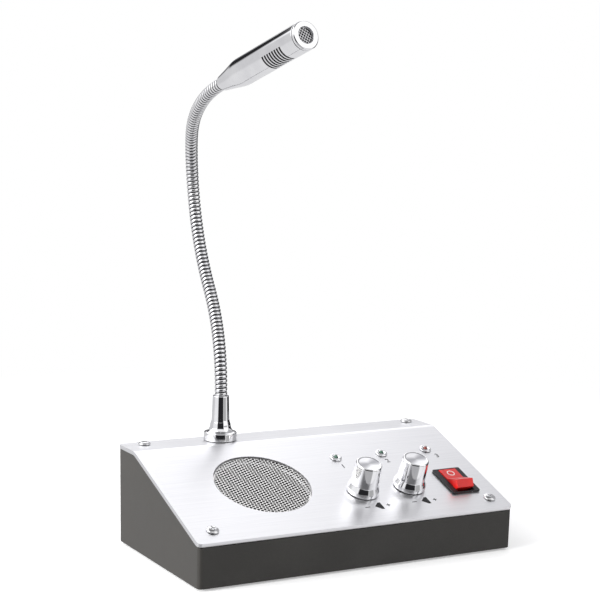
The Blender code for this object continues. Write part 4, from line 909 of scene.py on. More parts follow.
@dataclass
class PerforatedDisc:
    """A round sheet with small holes in a square grid, or in staggered rows."""

    name: str
    radius: float
    pitch: float
    hole: float
    thickness: float
    turn: float = 0.0
    staggered: bool = False
    square_corner: float = 0.27
    staggered_corner: float = 0.155
    weld: float = 0.005 * MM
    facets: int = 96

    def build(self) -> Piece:
        """Model one cell, repeat it and cut it round.

        Returns:
            The disc, its top face at height 0.
        """
        deselect()
        if self.staggered:
            steps = ((self.pitch, 0.0), (self.pitch / 2, self.pitch * math.sqrt(0.75)))
            corner = self.staggered_corner
            outer = self.pitch / math.sqrt(3.0)
            bpy.ops.mesh.primitive_circle_add(vertices=6, radius=outer, fill_type="NGON")
        else:
            steps = ((self.pitch, 0.0), (0.0, self.pitch))
            corner = self.square_corner
            bpy.ops.mesh.primitive_plane_add(size=self.pitch)
        piece = named(self.name)
        with editing(piece):
            bpy.ops.mesh.inset(thickness=(self.pitch - self.hole) / 2, depth=0.0)
            bpy.ops.mesh.bevel(offset=self.hole * corner, affect="VERTICES", segments=1)
            bpy.ops.mesh.select_all(action="DESELECT")
        middle = min(piece.data.polygons, key=lambda face: face.center.length)
        middle.select = True
        with editing(piece, whole=False):
            bpy.ops.mesh.select_mode(type="FACE")
            bpy.ops.mesh.delete(type="FACE")
            bpy.ops.mesh.select_mode(type="VERT")
        count = 2 * int(self.radius / steps[1][1]) + 3
        for step in steps:
            apply(
                piece, "ARRAY", count=count, use_relative_offset=False, use_constant_offset=True,
                constant_offset_displace=(*step, 0.0), use_merge_vertices=True, merge_threshold=self.weld,
            )
        aside, along = ((1 - count) / 2 * (first + second) for first, second in zip(*steps))
        settle(piece, Matrix.Rotation(self.turn, 4, "Z") @ Matrix.Translation((aside, along, 0.0)))
        apply(piece, "SOLIDIFY", thickness=self.thickness, offset=-1.0, use_even_offset=False)
        deselect()
        bpy.ops.mesh.primitive_cylinder_add(
            vertices=self.facets, radius=self.radius, depth=self.thickness * 4, location=(0.0, 0.0, 0.0)
        )
        carve(piece, named("round_tool"), "INTERSECT")
        return mend(piece)


@dataclass
class Speaker:
    """The perforated sheet behind the round opening."""

    x: float = -43.5 * MM
    down: float = 46.7 * MM
    radius: float = 33.5 * MM
    pitch: float = 2.333 * MM
    hole: float = 1.98 * MM
    thickness: float = 0.2 * MM
    turn: float = math.radians(25.0)
    plateau: float = 29.6 * MM
    high: float = -0.7 * MM
    low: float = -2.7 * MM

    def build(self) -> None:
        """Make the raised sheet and join its flange to it."""
        inner = self.plateau - self.thickness
        low = self.low - self.high
        sheet = PerforatedDisc(
            "grille_sheet", inner, self.pitch, self.hole, self.thickness, self.turn, staggered=True
        ).build()
        rim = turned("grille_rim", softened((
            (inner, 0.0, 0.0),
            (self.plateau, 0.0, 0.3 * MM),
            (self.plateau, low, 0.0),
            (self.radius, low, 0.0),
            (self.radius, low - self.thickness, 0.0),
            (inner, low - self.thickness, 0.0),
        )), 96, closed=True)
        carve(sheet, rim, "UNION")
        settle(mend(sheet), Unit.on_slope(self.x, self.down, self.high))
        fit(sheet, BASE, Finish.GRILLE, "steel", "speaker_grille")


@dataclass
class Lamps:
    """Three indicator lamps in bright bezels."""

    down: float = 27.5 * MM
    bezel: float = 3.9 * MM
    bezel_height: float = 1.1 * MM
    tube: float = 2.7 * MM
    tube_depth: float = 5.0 * MM
    bore: float = 1.65 * MM
    lens: float = 1.5 * MM
    lens_rise: float = 0.7 * MM
    flange: float = 1.9 * MM
    legs: Tuple[float, float] = (-0.75 * MM, 0.75 * MM)
    leg_half: float = 0.3 * MM
    leg_length: float = 8.2 * MM
    lenses: Tuple[Tuple[str, Finish, str], ...] = (
        ("call_lamp_left", Finish.GREEN, "green_lens"),
        ("call_lamp_right", Finish.GREEN, "green_lens"),
        ("power_lamp", Finish.RED, "red_lens"),
    )

    def build(self) -> None:
        """Make the bezels and lenses, each modelled once and copied."""
        ring, lens = self.ring(), self.lamp()
        for x, (name, finish, slot) in zip(Unit.columns, self.lenses):
            place = Unit.on_slope(x, self.down)
            fit(twin(ring, name + "_ring", place), BASE, Finish.CHROME, "chrome", name + "_bezel")
            fit(twin(lens, name + "_lens", place), BASE, finish, slot, name)
        discard(ring, lens)

    def ring(self) -> Piece:
        """Turn the bezel.

        Returns:
            The pattern of the three bezels.
        """
        foot = Unit.gap
        top = foot + self.bezel_height
        return turned("bezel_pattern", softened((
            (self.bore, -self.tube_depth, 0.0),
            (self.tube, -self.tube_depth, 0.0),
            (self.tube, foot, 0.0),
            (self.bezel, foot, 0.08 * MM),
            (self.bezel, foot + self.bezel_height * 0.5, 0.3 * MM),
            (self.bezel * 0.80, top, 0.35 * MM),
            (self.bezel * 0.62, top, 0.3 * MM),
            (self.bore, foot + 0.1 * MM, 0.0),
        )), 48, closed=True)

    def lamp(self) -> Piece:
        """Turn the lens and join its two legs to it.

        Returns:
            The pattern of the three lamps.
        """
        floor = -self.tube_depth
        seat = floor - Unit.gap
        dome = [
            (self.lens * math.cos(angle), self.lens_rise + self.lens * math.sin(angle))
            for angle in (step * math.pi / 16 for step in range(8))
        ]
        lens = turned("lens_pattern", [
            (0.0, seat - self.flange / 2), (self.flange, seat - self.flange / 2), (self.flange, seat),
            (self.lens, seat), *dome, (0.0, self.lens_rise + self.lens),
        ], 32)
        for x in self.legs:
            low = (x - self.leg_half, -self.leg_half, floor - self.leg_length)
            high = (x + self.leg_half, self.leg_half, seat - 0.5 * MM)
            carve(lens, brick("leg", low, high), "UNION")
        return smooth(lens)


@dataclass
class Knobs:
    """Two turned volume knobs."""

    down: float = 65.4 * MM
    aside: float = 1.2 * MM
    lift: float = 0.5 * MM
    height: float = 19.9 * MM
    skirt: float = 10.3 * MM
    skirt_height: float = 2.6 * MM
    foot: float = 9.0 * MM
    top: float = 8.3 * MM
    cavity: float = 6.9 * MM
    bore: float = 3.15 * MM
    bore_end: float = 17.6 * MM
    pointer_half: float = 0.5 * MM

    def build(self) -> None:
        """Model one knob and copy it."""
        low = self.lift
        high = self.lift + self.height
        pattern = turned("knob_pattern", softened((
            (0.0, high - 0.25 * MM, 0.0),
            (self.top * 0.80, high - 0.20 * MM, 0.4 * MM),
            (self.top * 0.87, high, 0.2 * MM),
            (self.top - 0.55 * MM, high, 0.3 * MM),
            (self.top, high - 0.8 * MM, 0.4 * MM),
            (self.foot - 0.15 * MM, low + 5.9 * MM, 0.5 * MM),
            (self.skirt, low + self.skirt_height, 0.35 * MM),
            (self.skirt, low, 0.3 * MM),
            (self.cavity, low, 0.2 * MM),
            (self.cavity, low + 4.6 * MM, 0.0),
            (self.bore, low + 5.4 * MM, 0.0),
            (self.bore, self.bore_end, 0.0),
            (0.0, self.bore_end, 0.0),
        )), 96)
        carve(pattern, brick(
            "pointer", (-self.pointer_half, -self.skirt - 3.0 * MM, low - 2.0 * MM),
            (self.pointer_half, -self.skirt + 0.5 * MM, low + self.skirt_height),
        ))
        smooth(pattern, 30.0)
        # Painted reflection on the top face, which the knob's finish lays as darker colour.
        self.brush(pattern, high - 0.4 * MM, self.top * 0.86)
        for x, side in zip(Unit.columns, ("left", "right")):
            shell = twin(pattern, "knob_shell_" + side, Unit.on_slope(x - self.aside, self.down))
            fit(shell, "knob_" + side, Finish.KNOB, "chrome", "volume_knob_" + side)
        discard(pattern)

    def brush(self, pattern: Piece, floor: float, radius: float) -> None:
        """Write a painted reflection on the turned top face as an attribute: the bow-tie of dark and light
        that spun metal reflects, laid as darker colour.

        Args:
            pattern: The knob.
            floor: Height above which the face lies.
            radius: Radius within which it lies.
        """
        spun_reflection = pattern.data.attributes.new("spun_reflection", "FLOAT", "POINT")
        for vertex, value in zip(pattern.data.vertices, spun_reflection.data):
            spot = vertex.co
            if spot.z > floor and spot.xy.length < radius:
                value.value = 0.5 + 0.5 * math.cos(2.0 * math.atan2(spot.y, spot.x) - 0.5)


@dataclass
class Switch:
    """Rocker switch: softened copies of its body and rocker."""

    swing: float = math.radians(15.0)
    down: float = 66.0 * MM
    axis: float = -2.5 * MM
    parts: Tuple[Edged, ...] = (
        Edged("switch_body", "switch_case", Finish.BLACK, "black_plastic", 0.3 * MM, 50.0, 3),
        Edged(
            "switch_rocker", "rocker_cap", Finish.ROCKER, "red_plastic", 0.4 * MM, 20.0, 3, body="rocker"
        ),
    )

    @classmethod
    def pivot(cls) -> Vector:
        """World place of the rocker's axis at its middle."""
        return Unit.on_slope(Unit.columns[2], cls.down, cls.axis).translation

    def build(self) -> None:
        """Make the body and the rocker."""
        for part in self.parts:
            part.build()


@dataclass
class NeckLine:
    """Centre line of the gooseneck: five arcs from the fitting to the head."""

    start: Vector = field(default_factory=lambda: Vector((-45.0 * MM, 46.0 * MM, 91.5 * MM)))
    arcs: Tuple[Tuple[float, float, float], ...] = (  # length, and degrees forward and sideways
        (36.8 * MM, -34.3, 9.4),
        (38.0 * MM, -3.6, -7.0),
        (53.0 * MM, 17.1, -0.5),
        (59.4 * MM, 67.2, -27.7),
        (68.3 * MM, 28.5, 15.0),
    )

    def at(self, distance: float) -> Tuple[Vector, Quaternion]:
        """Place and frame at a distance from the fitting, straight beyond both ends.

        Args:
            distance: Distance along the line.

        Returns:
            The point and the turn of its frame.
        """
        spot = self.start.copy()
        turn = Quaternion()
        left = distance
        for length, forward, sideways in self.arcs:
            inside = min(max(left, 0.0), length)
            bend = Vector((math.radians(forward), math.radians(sideways), 0.0))
            angle = bend.length * inside / length
            radius = length / bend.length
            axis = bend.normalized()
            side = axis.cross(Vector((0.0, 0.0, 1.0)))
            ahead = Vector((0.0, 0.0, radius * math.sin(angle)))
            spot = spot + turn @ (ahead + side * radius * (1.0 - math.cos(angle)))
            turn = turn @ Quaternion(axis, angle)
            left -= inside
            if left <= 0.0:
                break
        return spot + turn @ Vector((0.0, 0.0, left)), turn

    def joint(self, number: int) -> float:
        """Distance of one joint from the fitting."""
        return sum(arc[0] for arc in self.arcs[:number])

    def length(self) -> float:
        """Length of all the arcs."""
        return self.joint(len(self.arcs))


@dataclass
class Fitting:
    """Turned fitting that carries the neck: stub, flange, flare and sleeve."""

    line: NeckLine = field(default_factory=NeckLine)
    bore: float = 2.6 * MM
    stub: float = 5.0 * MM
    stub_length: float = 13.0 * MM
    flange: float = 10.5 * MM
    flange_height: float = 5.0 * MM
    shoulder: float = 9.7 * MM
    waist: float = 6.6 * MM
    flare: float = 3.3 * MM
    flare_height: float = 5.0 * MM
    sleeve: float = 5.75 * MM
    sleeve_start: float = 12.5 * MM
    mouth: float = 5.2 * MM
    socket: float = 4.4 * MM
    socket_depth: float = 9.3 * MM
    height: float = 28.6 * MM
    flare_steps: int = 12

    def build(self) -> None:
        """Turn the fitting, with its stub through the panel."""
        base = Unit.top_z + Unit.gap
        ledge = base + self.flange_height
        foot = Unit.top_z - self.stub_length
        top = Unit.top_z + self.height
        flare = [
            (
                self.waist + self.flare * (1 - math.sin(turn)),
                ledge + self.flare_height * (1 - math.cos(turn)),
                0.0,
            )
            for turn in (math.pi / 2 * step / self.flare_steps for step in range(1, self.flare_steps + 1))
        ]
        piece = turned("neck_socket", softened((
            (self.bore, foot, 0.0),
            (self.stub, foot, 0.0),
            (self.stub, base, 0.0),
            (self.flange, base, 0.3 * MM),
            (self.flange, ledge, 0.9 * MM),
            (self.shoulder, ledge, 0.3 * MM),
            *flare,
            (self.sleeve, base + self.sleeve_start, 0.9 * MM),
            (self.mouth, top, 0.7 * MM),
            (self.socket, top, 0.1 * MM),
            (self.socket, top - self.socket_depth, 0.0),
            (self.bore, top - self.socket_depth, 0.0),
        )), 72, closed=True)
        settle(piece, Matrix.Translation((*self.line.start.xy, 0.0)))
        fit(smooth(piece, 28.0), BASE, Finish.CHROME, "chrome", "neck_fitting")


@dataclass
class Neck:
    """Wound hose in four pieces, each bent across one joint."""

    line: NeckLine = field(default_factory=NeckLine)
    crest: float = 4.1 * MM
    root: float = 3.3 * MM
    pitch: float = 2.65 * MM
    wave_steps: int = 8
    round_steps: int = 32
    weld: float = 0.003 * MM
    guide_step: float = 0.75 * MM
    tail: float = 9.0 * MM
    nose: float = 8.0 * MM
    reach: float = 15.0 * MM
    bodies: Tuple[str, ...] = (BASE, "neck_2", "neck_3", "neck_4", "head")

    def build(self) -> None:
        """Wind the pieces, lay them along the neck's line, dress them and hide the CAD stretches that they
        stand for.
        """
        joints = [self.line.joint(number) for number in range(1, len(self.line.arcs))]
        between = [(a + b) / 2 for a, b in zip(joints, joints[1:])]
        stops = [-self.tail, *between, self.line.length() + self.nose]
        turns = [round((stop + self.tail) / self.pitch) for stop in stops]
        for number, (first, last, spot) in enumerate(zip(turns, turns[1:], joints), 1):
            piece = self.hose("hose_%d" % number, first, last - first)
            dress(piece, Finish.HOSE)
            near = self.line.at(spot - self.reach)[0]
            far = self.line.at(spot + self.reach)[0]
            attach(piece, self.bodies[number - 1])
            piece.parent = None
            self.bodies[number - 1]
            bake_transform(piece)
            nodes = ["neck_stretch_%d" % number]
            if number == len(joints):
                nodes.append("neck_stretch_%d" % (number + 1))
            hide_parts(*nodes)
            log.info("%s: %d faces", piece.name, len(piece.data.polygons))

    def hose(self, name: str, first: int, count: int) -> Piece:
        """One length of wound hose.

        Args:
            name: The piece's name.
            first: Whole turns before it.
            count: Its own turns.

        Returns:
            The hose, closed at both ends, along the neck's line.
        """
        low = first * self.pitch
        wave = []
        for step in range(self.wave_steps + 1):
            share = step / self.wave_steps
            swell = math.sqrt(max(0.0, 1.0 - (2.0 * share - 1.0) ** 2))
            wave.append((self.root + (self.crest - self.root) * swell, 0.0, low + share * self.pitch))
        piece = outline(name, wave)
        apply(
            piece, "SCREW", axis="Z", angle=math.tau, screw_offset=self.pitch, iterations=count,
            steps=self.round_steps, render_steps=self.round_steps, use_merge_vertices=True,
            merge_threshold=self.weld, use_smooth_shade=True,
        )
        with editing(piece):
            bpy.ops.mesh.remove_doubles(threshold=self.weld)
            bpy.ops.mesh.select_all(action="DESELECT")
            bpy.ops.mesh.select_mode(type="EDGE")
            bpy.ops.mesh.select_non_manifold()
            bpy.ops.mesh.fill()
            bpy.ops.mesh.select_mode(type="VERT")
            bpy.ops.mesh.select_all(action="SELECT")
            bpy.ops.mesh.normals_make_consistent(inside=False)
        # Painted shade: 0 on the crest and 1 at the root of each hollow between turns, which the hose's
        # finish turns into darker colour.
        groove_shade = piece.data.attributes.new("groove_shade", "FLOAT", "POINT")
        for vertex, value in zip(piece.data.vertices, groove_shade.data):
            value.value = (self.crest - vertex.co.xy.length) / (self.crest - self.root)
        self.lay(piece)
        return smooth(piece, 60.0)

    def lay(self, piece: Piece) -> None:
        """Bend a straight hose along the neck's line with a Curve modifier.

        Args:
            piece: The straight hose, with height 0 at the tail's end.
        """
        total = self.line.length() + self.nose + self.tail
        count = int(total / self.guide_step)
        data = bpy.data.curves.new("neck_guide", "CURVE")
        data.dimensions = "3D"
        data.twist_mode = "MINIMUM"
        line = data.splines.new("POLY")
        line.points.add(count)
        for index in range(count + 1):
            place = self.line.at(total * index / count - self.tail)[0]
            line.points[index].co = (*place, 1.0)
        guide = linked("neck_guide", data)
        apply(piece, "CURVE", object=guide, deform_axis="POS_Z")
        discard(guide)


@dataclass
class Head:
    """Microphone head: shell with side slots, front ring and perforated disc."""

    line: NeckLine = field(default_factory=NeckLine)
    length: float = 96.0 * MM
    radius: float = 8.6 * MM
    wall: float = 0.9 * MM
    cap: float = 2.0 * MM
    seam: float = 0.5 * MM
    start: float = 3.0 * MM
    taper: float = 24.5 * MM
    socket: float = 3.95 * MM
    socket_end: float = 8.3 * MM
    lead_hole: float = 2.0 * MM
    throat: float = 9.2 * MM
    opening: float = 5.1 * MM
    lip: float = 4.65 * MM
    spigot_length: float = 3.0 * MM
    mesh: Tuple[float, ...] = (4.8 * MM, 1.5 * MM, 1.16 * MM, 0.35 * MM)  # radius, pitch, hole, thickness
    mesh_depth: float = 1.7 * MM
    slot_count: int = 8
    slot_first: float = 61.0 * MM
    slot_pitch: float = 2.65 * MM
    slot_width: float = 1.6 * MM
    slot_span: float = math.radians(83.0)
    slot_turn: float = math.radians(40.5)

    def build(self) -> None:
        """Make the three pieces."""
        spot, turn = self.line.at(self.line.length())
        place = Matrix.Translation(spot) @ turn.to_matrix().to_4x4()
        for piece, node in ((self.shell(), "mic_shell"), (self.ring(), "mic_cap")):
            fit(settle(piece, place), "head", Finish.CHROME, "chrome", node)
        sheet = PerforatedDisc("head_mesh", *self.mesh, turn=math.pi / 4).build()
        settle(sheet, place @ Matrix.Translation((0.0, 0.0, self.length - self.mesh_depth)))
        fit(sheet, "head", Finish.STEEL, "steel", "mic_mesh")

    def shell(self) -> Piece:
        """Turn the shell and cut its slots.

        Returns:
            The shell, its rear end at height 0.
        """
        inner = self.radius - self.wall
        end = self.length - self.cap - self.seam
        shell = turned("head_shell", softened((
            (self.socket, self.start, 0.0),
            (4.9 * MM, self.start, 0.4 * MM),
            (5.05 * MM, self.start + 0.8 * MM, 0.4 * MM),
            (6.62 * MM, (self.start + self.taper) / 2, 3.0 * MM),
            (self.radius, self.taper, 3.0 * MM),
            (self.radius, end, 0.25 * MM),
            (inner, end, 0.0),
            (inner, self.taper, 0.0),
            (5.0 * MM, self.throat, 0.0),
            (self.lead_hole, self.throat, 0.0),
            (self.lead_hole, self.socket_end, 0.0),
            (self.socket, self.socket_end, 0.0),
        )), 72, closed=True)
        for side in (-1, 1):
            carve(shell, self.slots(side))
        return smooth(mend(shell), 28.0)

    def ring(self) -> Piece:
        """Turn the front ring with its spigot.

        Returns:
            The ring, in the shell's frame.
        """
        join = self.length - self.cap
        spigot = self.radius - self.wall - Unit.gap
        ledge = self.length - 1.4 * MM
        return turned("head_ring", softened((
            (self.opening, join - self.spigot_length, 0.0),
            (spigot, join - self.spigot_length, 0.0),
            (spigot, join, 0.0),
            (self.radius, join, 0.25 * MM),
            (self.radius, self.length - 0.6 * MM, 0.3 * MM),
            (self.radius - 0.6 * MM, self.length, 0.3 * MM),
            (self.opening, self.length, 0.2 * MM),
            (self.lip, ledge, 0.0),
            (self.opening, ledge, 0.0),
        )), 72, closed=True)

    def slots(self, side: int) -> Piece:
        """Cutting tool for the slots of one side.

        Args:
            side: -1 or 1.

        Returns:
            One arc swept and repeated along the head.
        """
        middle = math.pi / 2 * (1 + side) + side * self.slot_turn
        inner = self.radius - self.wall - 0.3 * MM
        outer = self.radius + 2.0 * MM
        deselect()
        bpy.ops.mesh.primitive_plane_add(size=1.0)
        tool = named("slot_tool")
        tool.matrix_world = (
            Matrix.Rotation(middle + self.slot_span / 2, 4, "Z")
            @ Matrix.Translation(((inner + outer) / 2, 0.0, self.slot_first))
            @ Matrix.Rotation(math.pi / 2, 4, "X")
            @ Matrix.Diagonal((outer - inner, self.slot_width, 1.0, 1.0))
        )
        settle(tool)
        with editing(tool):
            bpy.ops.mesh.spin(steps=20, angle=self.slot_span, center=(0.0, 0.0, 0.0), axis=(0.0, 0.0, 1.0))
        return apply(
            mend(tool), "ARRAY", count=self.slot_count, use_relative_offset=False, use_constant_offset=True,
            constant_offset_displace=(0.0, 0.0, self.slot_pitch),
        )


@dataclass
class Rear:
    """Sockets of the rear recess with their ring nuts, and the feet."""

    nut_up: float = 16.5 * MM
    nut: float = 4.3 * MM
    hole: float = 3.15 * MM
    height: float = 1.8 * MM
    edge: float = 0.13 * MM

    def build(self) -> None:
        """Make and dress every piece."""
        pattern = turned("ring_nut_pattern", softened((
            (self.hole, Unit.gap, 0.0),
            (self.nut, Unit.gap, 0.1 * MM),
            (self.nut, self.height, 0.5 * MM),
            (self.hole, self.height, 0.3 * MM),
            (self.hole, self.height / 2, 0.0),
        )), 48, closed=True)
        for side, x in zip(("left", "right"), Unit.sockets):
            nut = twin(pattern, "ring_nut_" + side, Unit.on_recess(x, self.nut_up))
            fit(nut, BASE, Finish.SCREW, "zinc", "audio_nut_" + side)
            self.edged("audio_socket_" + side, Finish.BLACK, "black_plastic")
        discard(pattern)
        self.edged("power_socket", Finish.BLACK, "black_plastic")
        for number in range(1, 5):
            self.edged("rubber_foot_%d" % number, Finish.RUBBER, "rubber")

    def edged(self, node: str, finish: Finish, slot: str) -> None:
        """Soften and fit a copy of one node."""
        Edged(node, node + "_edged", finish, slot, self.edge, 35.0, crease=40.0).build()


@dataclass
class Marks:
    """Printed marks: plain numbers by the lamps, signs by the knobs and symbols by the sockets."""

    film: float = 0.04 * MM
    lift: float = 0.01 * MM
    digit_size: float = 5.6 * MM
    digits: Tuple[Point, ...] = ((18.6 * MM, 37.2 * MM), (52.2 * MM, 36.1 * MM), (90.5 * MM, 35.9 * MM))
    sign_down: float = 82.2 * MM
    sign_x: Tuple[Tuple[float, float, float], ...] = (  # minus, wedge and plus, in millimetres
        (11.4, 19.2, 26.1), (45.2, 53.0, 60.2),
    )
    stroke: float = 0.28 * MM
    minus: float = 1.7 * MM
    plus: float = 1.35 * MM
    wedge_size: Point = (2.6 * MM, 3.4 * MM)
    symbol_up: float = 7.3 * MM
    rings: Tuple[Tuple[str, int, float, float], ...] = (  # name, socket, inner and outer radius
        ("power_ring", 2, 1.55 * MM, 1.85 * MM),
        ("right_ring", 1, 1.75 * MM, 2.05 * MM),
        ("right_dot", 1, 0.3 * MM, 0.7 * MM),
    )
    bar: Point = (0.35 * MM, 2.0 * MM)

    def build(self) -> None:
        """Print every mark."""
        for number, (x, down) in enumerate(self.digits, 1):
            self.stick(self.digit(number), Unit.on_slope(x, down, self.film))
        for minus, wedge, plus in self.sign_x:
            for piece, x in (
                (self.sign("sign_less_%d" % minus, self.minus), minus),
                (self.sign("sign_more_%d" % plus, self.plus, upright=True), plus),
                (self.wedge("wedge_louder_%d" % wedge), wedge),
            ):
                self.stick(piece, Unit.on_slope(x * MM, self.sign_down, self.lift))
        for name, socket, hole, rim in self.rings:
            profile = ((hole, 0.0), (rim, 0.0), (rim, self.film), (hole, self.film))
            self.below(turned("mark_" + name, profile, 40, closed=True), socket)
        self.below(self.plate("mark_left_bar", *self.bar), 0)

    def stick(self, piece: Piece, place: Matrix, ink: Finish = Finish.PRINT) -> None:
        """Put a mark on its place and dress it."""
        fit(settle(piece, place), BASE, ink, "black_plastic")

    def below(self, piece: Piece, socket: int) -> None:
        """Put a pale mark on the recess's wall below one of the sockets."""
        self.stick(piece, Unit.on_recess(Unit.sockets[socket], self.symbol_up, self.lift), Finish.PALE_PRINT)

    def plate(self, name: str, half_x: float, half_y: float) -> Piece:
        """A film with two half sizes, standing on height 0."""
        return brick(name, (-half_x, -half_y, 0.0), (half_x, half_y, self.film))

    def digit(self, number: int) -> Piece:
        """One plain number.

        Args:
            number: The number.

        Returns:
            The number, its middle at the origin.
        """
        deselect()
        bpy.ops.object.text_add()
        text = bpy.context.view_layer.objects.active
        text.data.body = str(number)
        text.data.size = self.digit_size
        text.data.align_x = "CENTER"
        text.data.align_y = "CENTER"
        text.data.extrude = self.film
        text.data.resolution_u = 4
        bpy.ops.object.convert(target="MESH")
        return mend(named("lamp_number_%d" % number))

    def sign(self, name: str, half: float, upright: bool = False) -> Piece:
        """A minus or plus sign.

        Args:
            name: The piece's name.
            half: Half the length of its strokes.
            upright: Whether the sign has its upright stroke.

        Returns:
            The sign, its middle at the origin.
        """
        piece = self.plate(name, half, self.stroke)
        if upright:
            carve(piece, self.plate("stroke", self.stroke, half), "UNION")
        return piece

    def wedge(self, name: str) -> Piece:
        """A plain wedge, its point to the left.

        Args:
            name: The piece's name.

        Returns:
            The wedge, its middle at the origin.
        """
        half_x, half_y = self.wedge_size
        piece = self.plate(name, half_x, half_y)
        for side in (-1, 1):
            with editing(piece):
                bpy.ops.mesh.bisect(
                    plane_co=(-half_x, 0.0, 0.0), plane_no=(-half_y / MM, side * 2 * half_x / MM, 0.0),
                    use_fill=True, clear_outer=True, clear_inner=False,
                )
        return mend(piece)


class Carried:
    """CAD nodes that keep their own shape and take a finer finish."""

    finishes: Dict[str, Finish] = {
        "board_screw": Finish.ZINC,
        "main_board": Finish.BOARD,
        "heat_sink": Finish.FIN,
        "speaker_basket": Finish.STEEL,
        "speaker_cone": Finish.PAPER,
        "speaker_magnet": Finish.FERRITE,
        "speaker_yoke": Finish.STEEL,
        "volume_control": Finish.ZINC,
        "control_shaft": Finish.ZINC,
        "control_nut": Finish.ZINC,
        "fitting_nut": Finish.ZINC,
        "fitting_washer": Finish.ZINC,
        "neck_lead": Finish.CABLE,
        "mic_capsule": Finish.FELT,
        "capsule_holder": Finish.FELT,
    }

    def build(self) -> None:
        """Dress every carried node."""
        for name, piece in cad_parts.items():
            for start, finish in self.finishes.items():
                if name.startswith(start):
                    dress(piece, finish)
                    log.info("%s keeps its shape", name)


# Studio


FAR = 2.0  # past every direction, which goes from -1 to 1


@dataclass(frozen=True)
class Card:
    """A soft-edged patch of the room: low end, high end and softness across, along and up."""

    across: Optional[Limits]
    along: Optional[Limits]
    up: Optional[Limits]
    colour: Optional[Colour] = None

    def share(self, graph: Graph, directions: Sequence[Wire]) -> Wire:
        """The patch as a signal.

        Args:
            graph: The world's graph.
            directions: Across, along and up.

        Returns:
            One inside the patch and zero outside.
        """
        share: Signal = 1.0
        for signal, limits in zip(directions, (self.across, self.along, self.up)):
            if limits:
                low, high, soft = limits
                share = graph.ease(signal, low - soft, low + soft) * share
                share = share * (1.0 - graph.ease(signal, high - soft, high + soft))
        return share


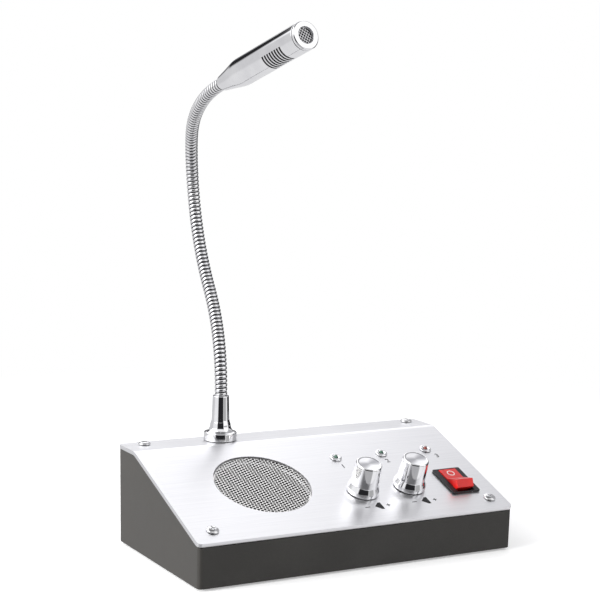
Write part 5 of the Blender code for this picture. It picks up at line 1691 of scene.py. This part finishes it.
@dataclass
class Studio:
    """Floor, world light, lamps and camera."""

    azimuth: float = -29.231
    elevation: float = 6.622
    roll: float = 1.338
    spot: Tuple[float, float, float] = (-0.482865, -0.836300, 0.267693)
    lens: float = 94.35
    floor_radius: float = 0.8
    floor_tone: Colour = (0.86, 0.86, 0.86)
    floor_glow: float = 0.37
    white: Colour = (1.0, 1.0, 1.0)
    left: Colour = (1.72, 1.72, 1.75)
    right: Colour = (0.41, 0.41, 0.425)
    front: Colour = (0.92, 0.92, 0.93)
    dusk: Colour = (0.02, 0.02, 0.022)
    rear: Card = Card(None, (-FAR, -0.1, 0.15), (0.3, FAR, 0.15))
    pale: Tuple[Card, ...] = (
        # Behind, below, left behind
        Card((-0.5, 0.5, 0.1), (-FAR, -0.4, 0.1), (-0.1, 0.3, 0.08), (0.23, 0.23, 0.24)),
        Card(None, (-FAR, 0.1, 0.1), (-FAR, -0.16, 0.08), (0.76, 0.76, 0.77)),
        Card((-FAR, -0.5, 0.1), (-FAR, 0.1, 0.1), (-0.3, 0.35, 0.1), (0.66, 0.66, 0.67)),
        # Low right, high left, high right, low in front
        Card((0.66, FAR, 0.05), (0.2, FAR, 0.1), (-0.4, 0.08, 0.06), (0.44, 0.44, 0.44)),
        Card((-FAR, -0.5, 0.1), (-0.1, FAR, 0.1), (0.3, 0.9, 0.1), (1.65, 1.65, 1.65)),
        Card((0.6, FAR, 0.08), (0.0, FAR, 0.08), (0.1, 0.8, 0.08), (1.2, 1.2, 1.2)),
        Card((-0.60, 0.50, 0.05), (0.1, FAR, 0.1), (-FAR, -0.3, 0.08), (0.44, 0.44, 0.45)),
    )
    dark: Tuple[Card, ...] = (  # in front, right behind, and the line along the head
        Card((-0.48, 0.62, 0.05), (0.0, FAR, 0.1), (-0.3, 0.42, 0.06)),
        Card((0.45, FAR, 0.06), (-FAR, -0.15, 0.1), (-0.42, 0.2, 0.08)),
        Card((-0.72, -0.28, 0.07), (-FAR, -0.3, 0.07), (0.2, 0.48, 0.07)),
    )

    def build(self) -> None:
        """Set up the whole studio."""
        self.floor()
        self.world()
        self.lamp("key_left", (-1.1, 0.2, 1.0), (0.0, 0.0, 0.1), 1.2, 4.6)
        self.lamp("side_left", (-1.4, -0.1, 0.16), (0.0, 0.0, 0.04), 0.8, 42.0).visible_glossy = False
        self.camera()

    def floor(self) -> None:
        """A pale floor that keeps the object's shadow and turns white further out."""
        deselect()
        bpy.ops.mesh.primitive_circle_add(vertices=64, radius=self.floor_radius, fill_type="NGON")
        piece = named("studio_floor")
        material, graph, shader = fresh_material("studio_floor")
        graph.feed(shader, {"Base Color": self.floor_tone, "Roughness": 0.9})
        path = graph.node("ShaderNodeLightPath")
        mirrored = graph.wire(path, "Is Glossy Ray") + graph.wire(path, "Is Transmission Ray")
        mirrored = graph.sums("MINIMUM", mirrored, 1.0)
        x, y = graph.split(graph.place())[:2]
        far = graph.ease((x * x + y * y) ** 0.5, 0.25, 0.7)
        matt = graph.wire(shader)
        lift, glow = (
            graph.signal("ShaderNodeEmission", None, {"Color": self.white, "Strength": strength})
            for strength in (self.floor_glow, 1.0)
        )
        lifted = graph.signal("ShaderNodeAddShader", None, {0: matt, 1: lift})
        both = graph.mixed(graph.wire(path, "Is Camera Ray"), matt, graph.mixed(far, lifted, glow))
        both = graph.mixed(mirrored, both, graph.signal("ShaderNodeBsdfTransparent"))
        graph.feed(graph.tree.nodes["Material Output"], {"Surface": both})
        piece.data.materials.append(material)

    def world(self) -> None:
        """A room that is pale on the left, with cards in it, and white where the camera sees it."""
        world = bpy.data.worlds.new("studio_room")
        bpy.context.scene.world = world
        world.use_nodes = True
        graph = Graph(world.node_tree)
        x, y, up = graph.split(graph.signal("ShaderNodeTexCoord", output="Generated"))
        turn = math.radians(self.azimuth)
        across = x * math.cos(turn) + y * math.sin(turn)
        along = x * math.sin(turn) - y * math.cos(turn)
        directions = (across, along, up)
        room = graph.tint(graph.ease(across, 0.05, 0.42), self.left, self.right)
        room = graph.tint(self.rear.share(graph, directions), self.front, room)
        for card in self.pale:
            room = graph.tint(card.share(graph, directions), room, card.colour)
        dark = graph.ease(up, 0.84, 0.92) * 0.8
        for card in self.dark:
            dark = card.share(graph, directions) + dark
        room = graph.tint(graph.sums("MINIMUM", dark, 1.0), room, self.dusk)
        seen = graph.signal("ShaderNodeLightPath", output="Is Camera Ray")
        colour = graph.tint(seen, room, self.white)
        graph.feed(graph.tree.nodes["Background"], {"Color": colour, "Strength": 1.0})

    def lamp(
        self, name: str, spot: Sequence[float], aim: Sequence[float], size: float, power: float
    ) -> Piece:
        """One square soft lamp.

        Args:
            name: Its name.
            spot: Where it stands.
            aim: What it points at.
            size: Length of its side.
            power: Its power in watts.

        Returns:
            The lamp.
        """
        data = bpy.data.lights.new(name, "AREA")
        data.shape = "SQUARE"
        data.size = size
        data.energy = power
        lamp = linked(name, data)
        lamp.location = spot
        lamp.rotation_euler = (Vector(aim) - Vector(spot)).to_track_quat("-Z", "Y").to_euler()
        return lamp

    def camera(self) -> None:
        """The camera at the photograph's angle."""
        turn, rise, roll = (math.radians(v) for v in (self.azimuth, self.elevation, self.roll))
        back = Vector((math.sin(turn) * math.cos(rise), -math.cos(turn) * math.cos(rise), math.sin(rise)))
        right = Vector((math.cos(turn), math.sin(turn), 0.0))
        up = back.cross(right)
        rolled_right = right * math.cos(roll) + up * math.sin(roll)
        rolled_up = up * math.cos(roll) - right * math.sin(roll)
        data = bpy.data.cameras.new("photo_camera")
        data.sensor_width = 36.0
        data.sensor_fit = "HORIZONTAL"
        data.lens = self.lens
        data.clip_start = 0.01
        camera = linked("photo_camera", data)
        axes = Matrix((rolled_right, rolled_up, back)).transposed().to_4x4()
        camera.matrix_world = Matrix.Translation(self.spot) @ axes
        bpy.context.scene.camera = camera


def main() -> None:
    """Build every sub-assembly and the studio."""
    logging.basicConfig(level=logging.INFO, format="%(name)s %(message)s")
    bpy.context.scene.view_settings.view_transform = "Standard"
    Studio().build()
    for part in (
        Carried(), Casing(), Speaker(), Lamps(), Knobs(), Switch(), Fitting(), Neck(), Head(), Rear(), Marks()
    ):
        part.build()


if __name__ == "__main__":
    main()
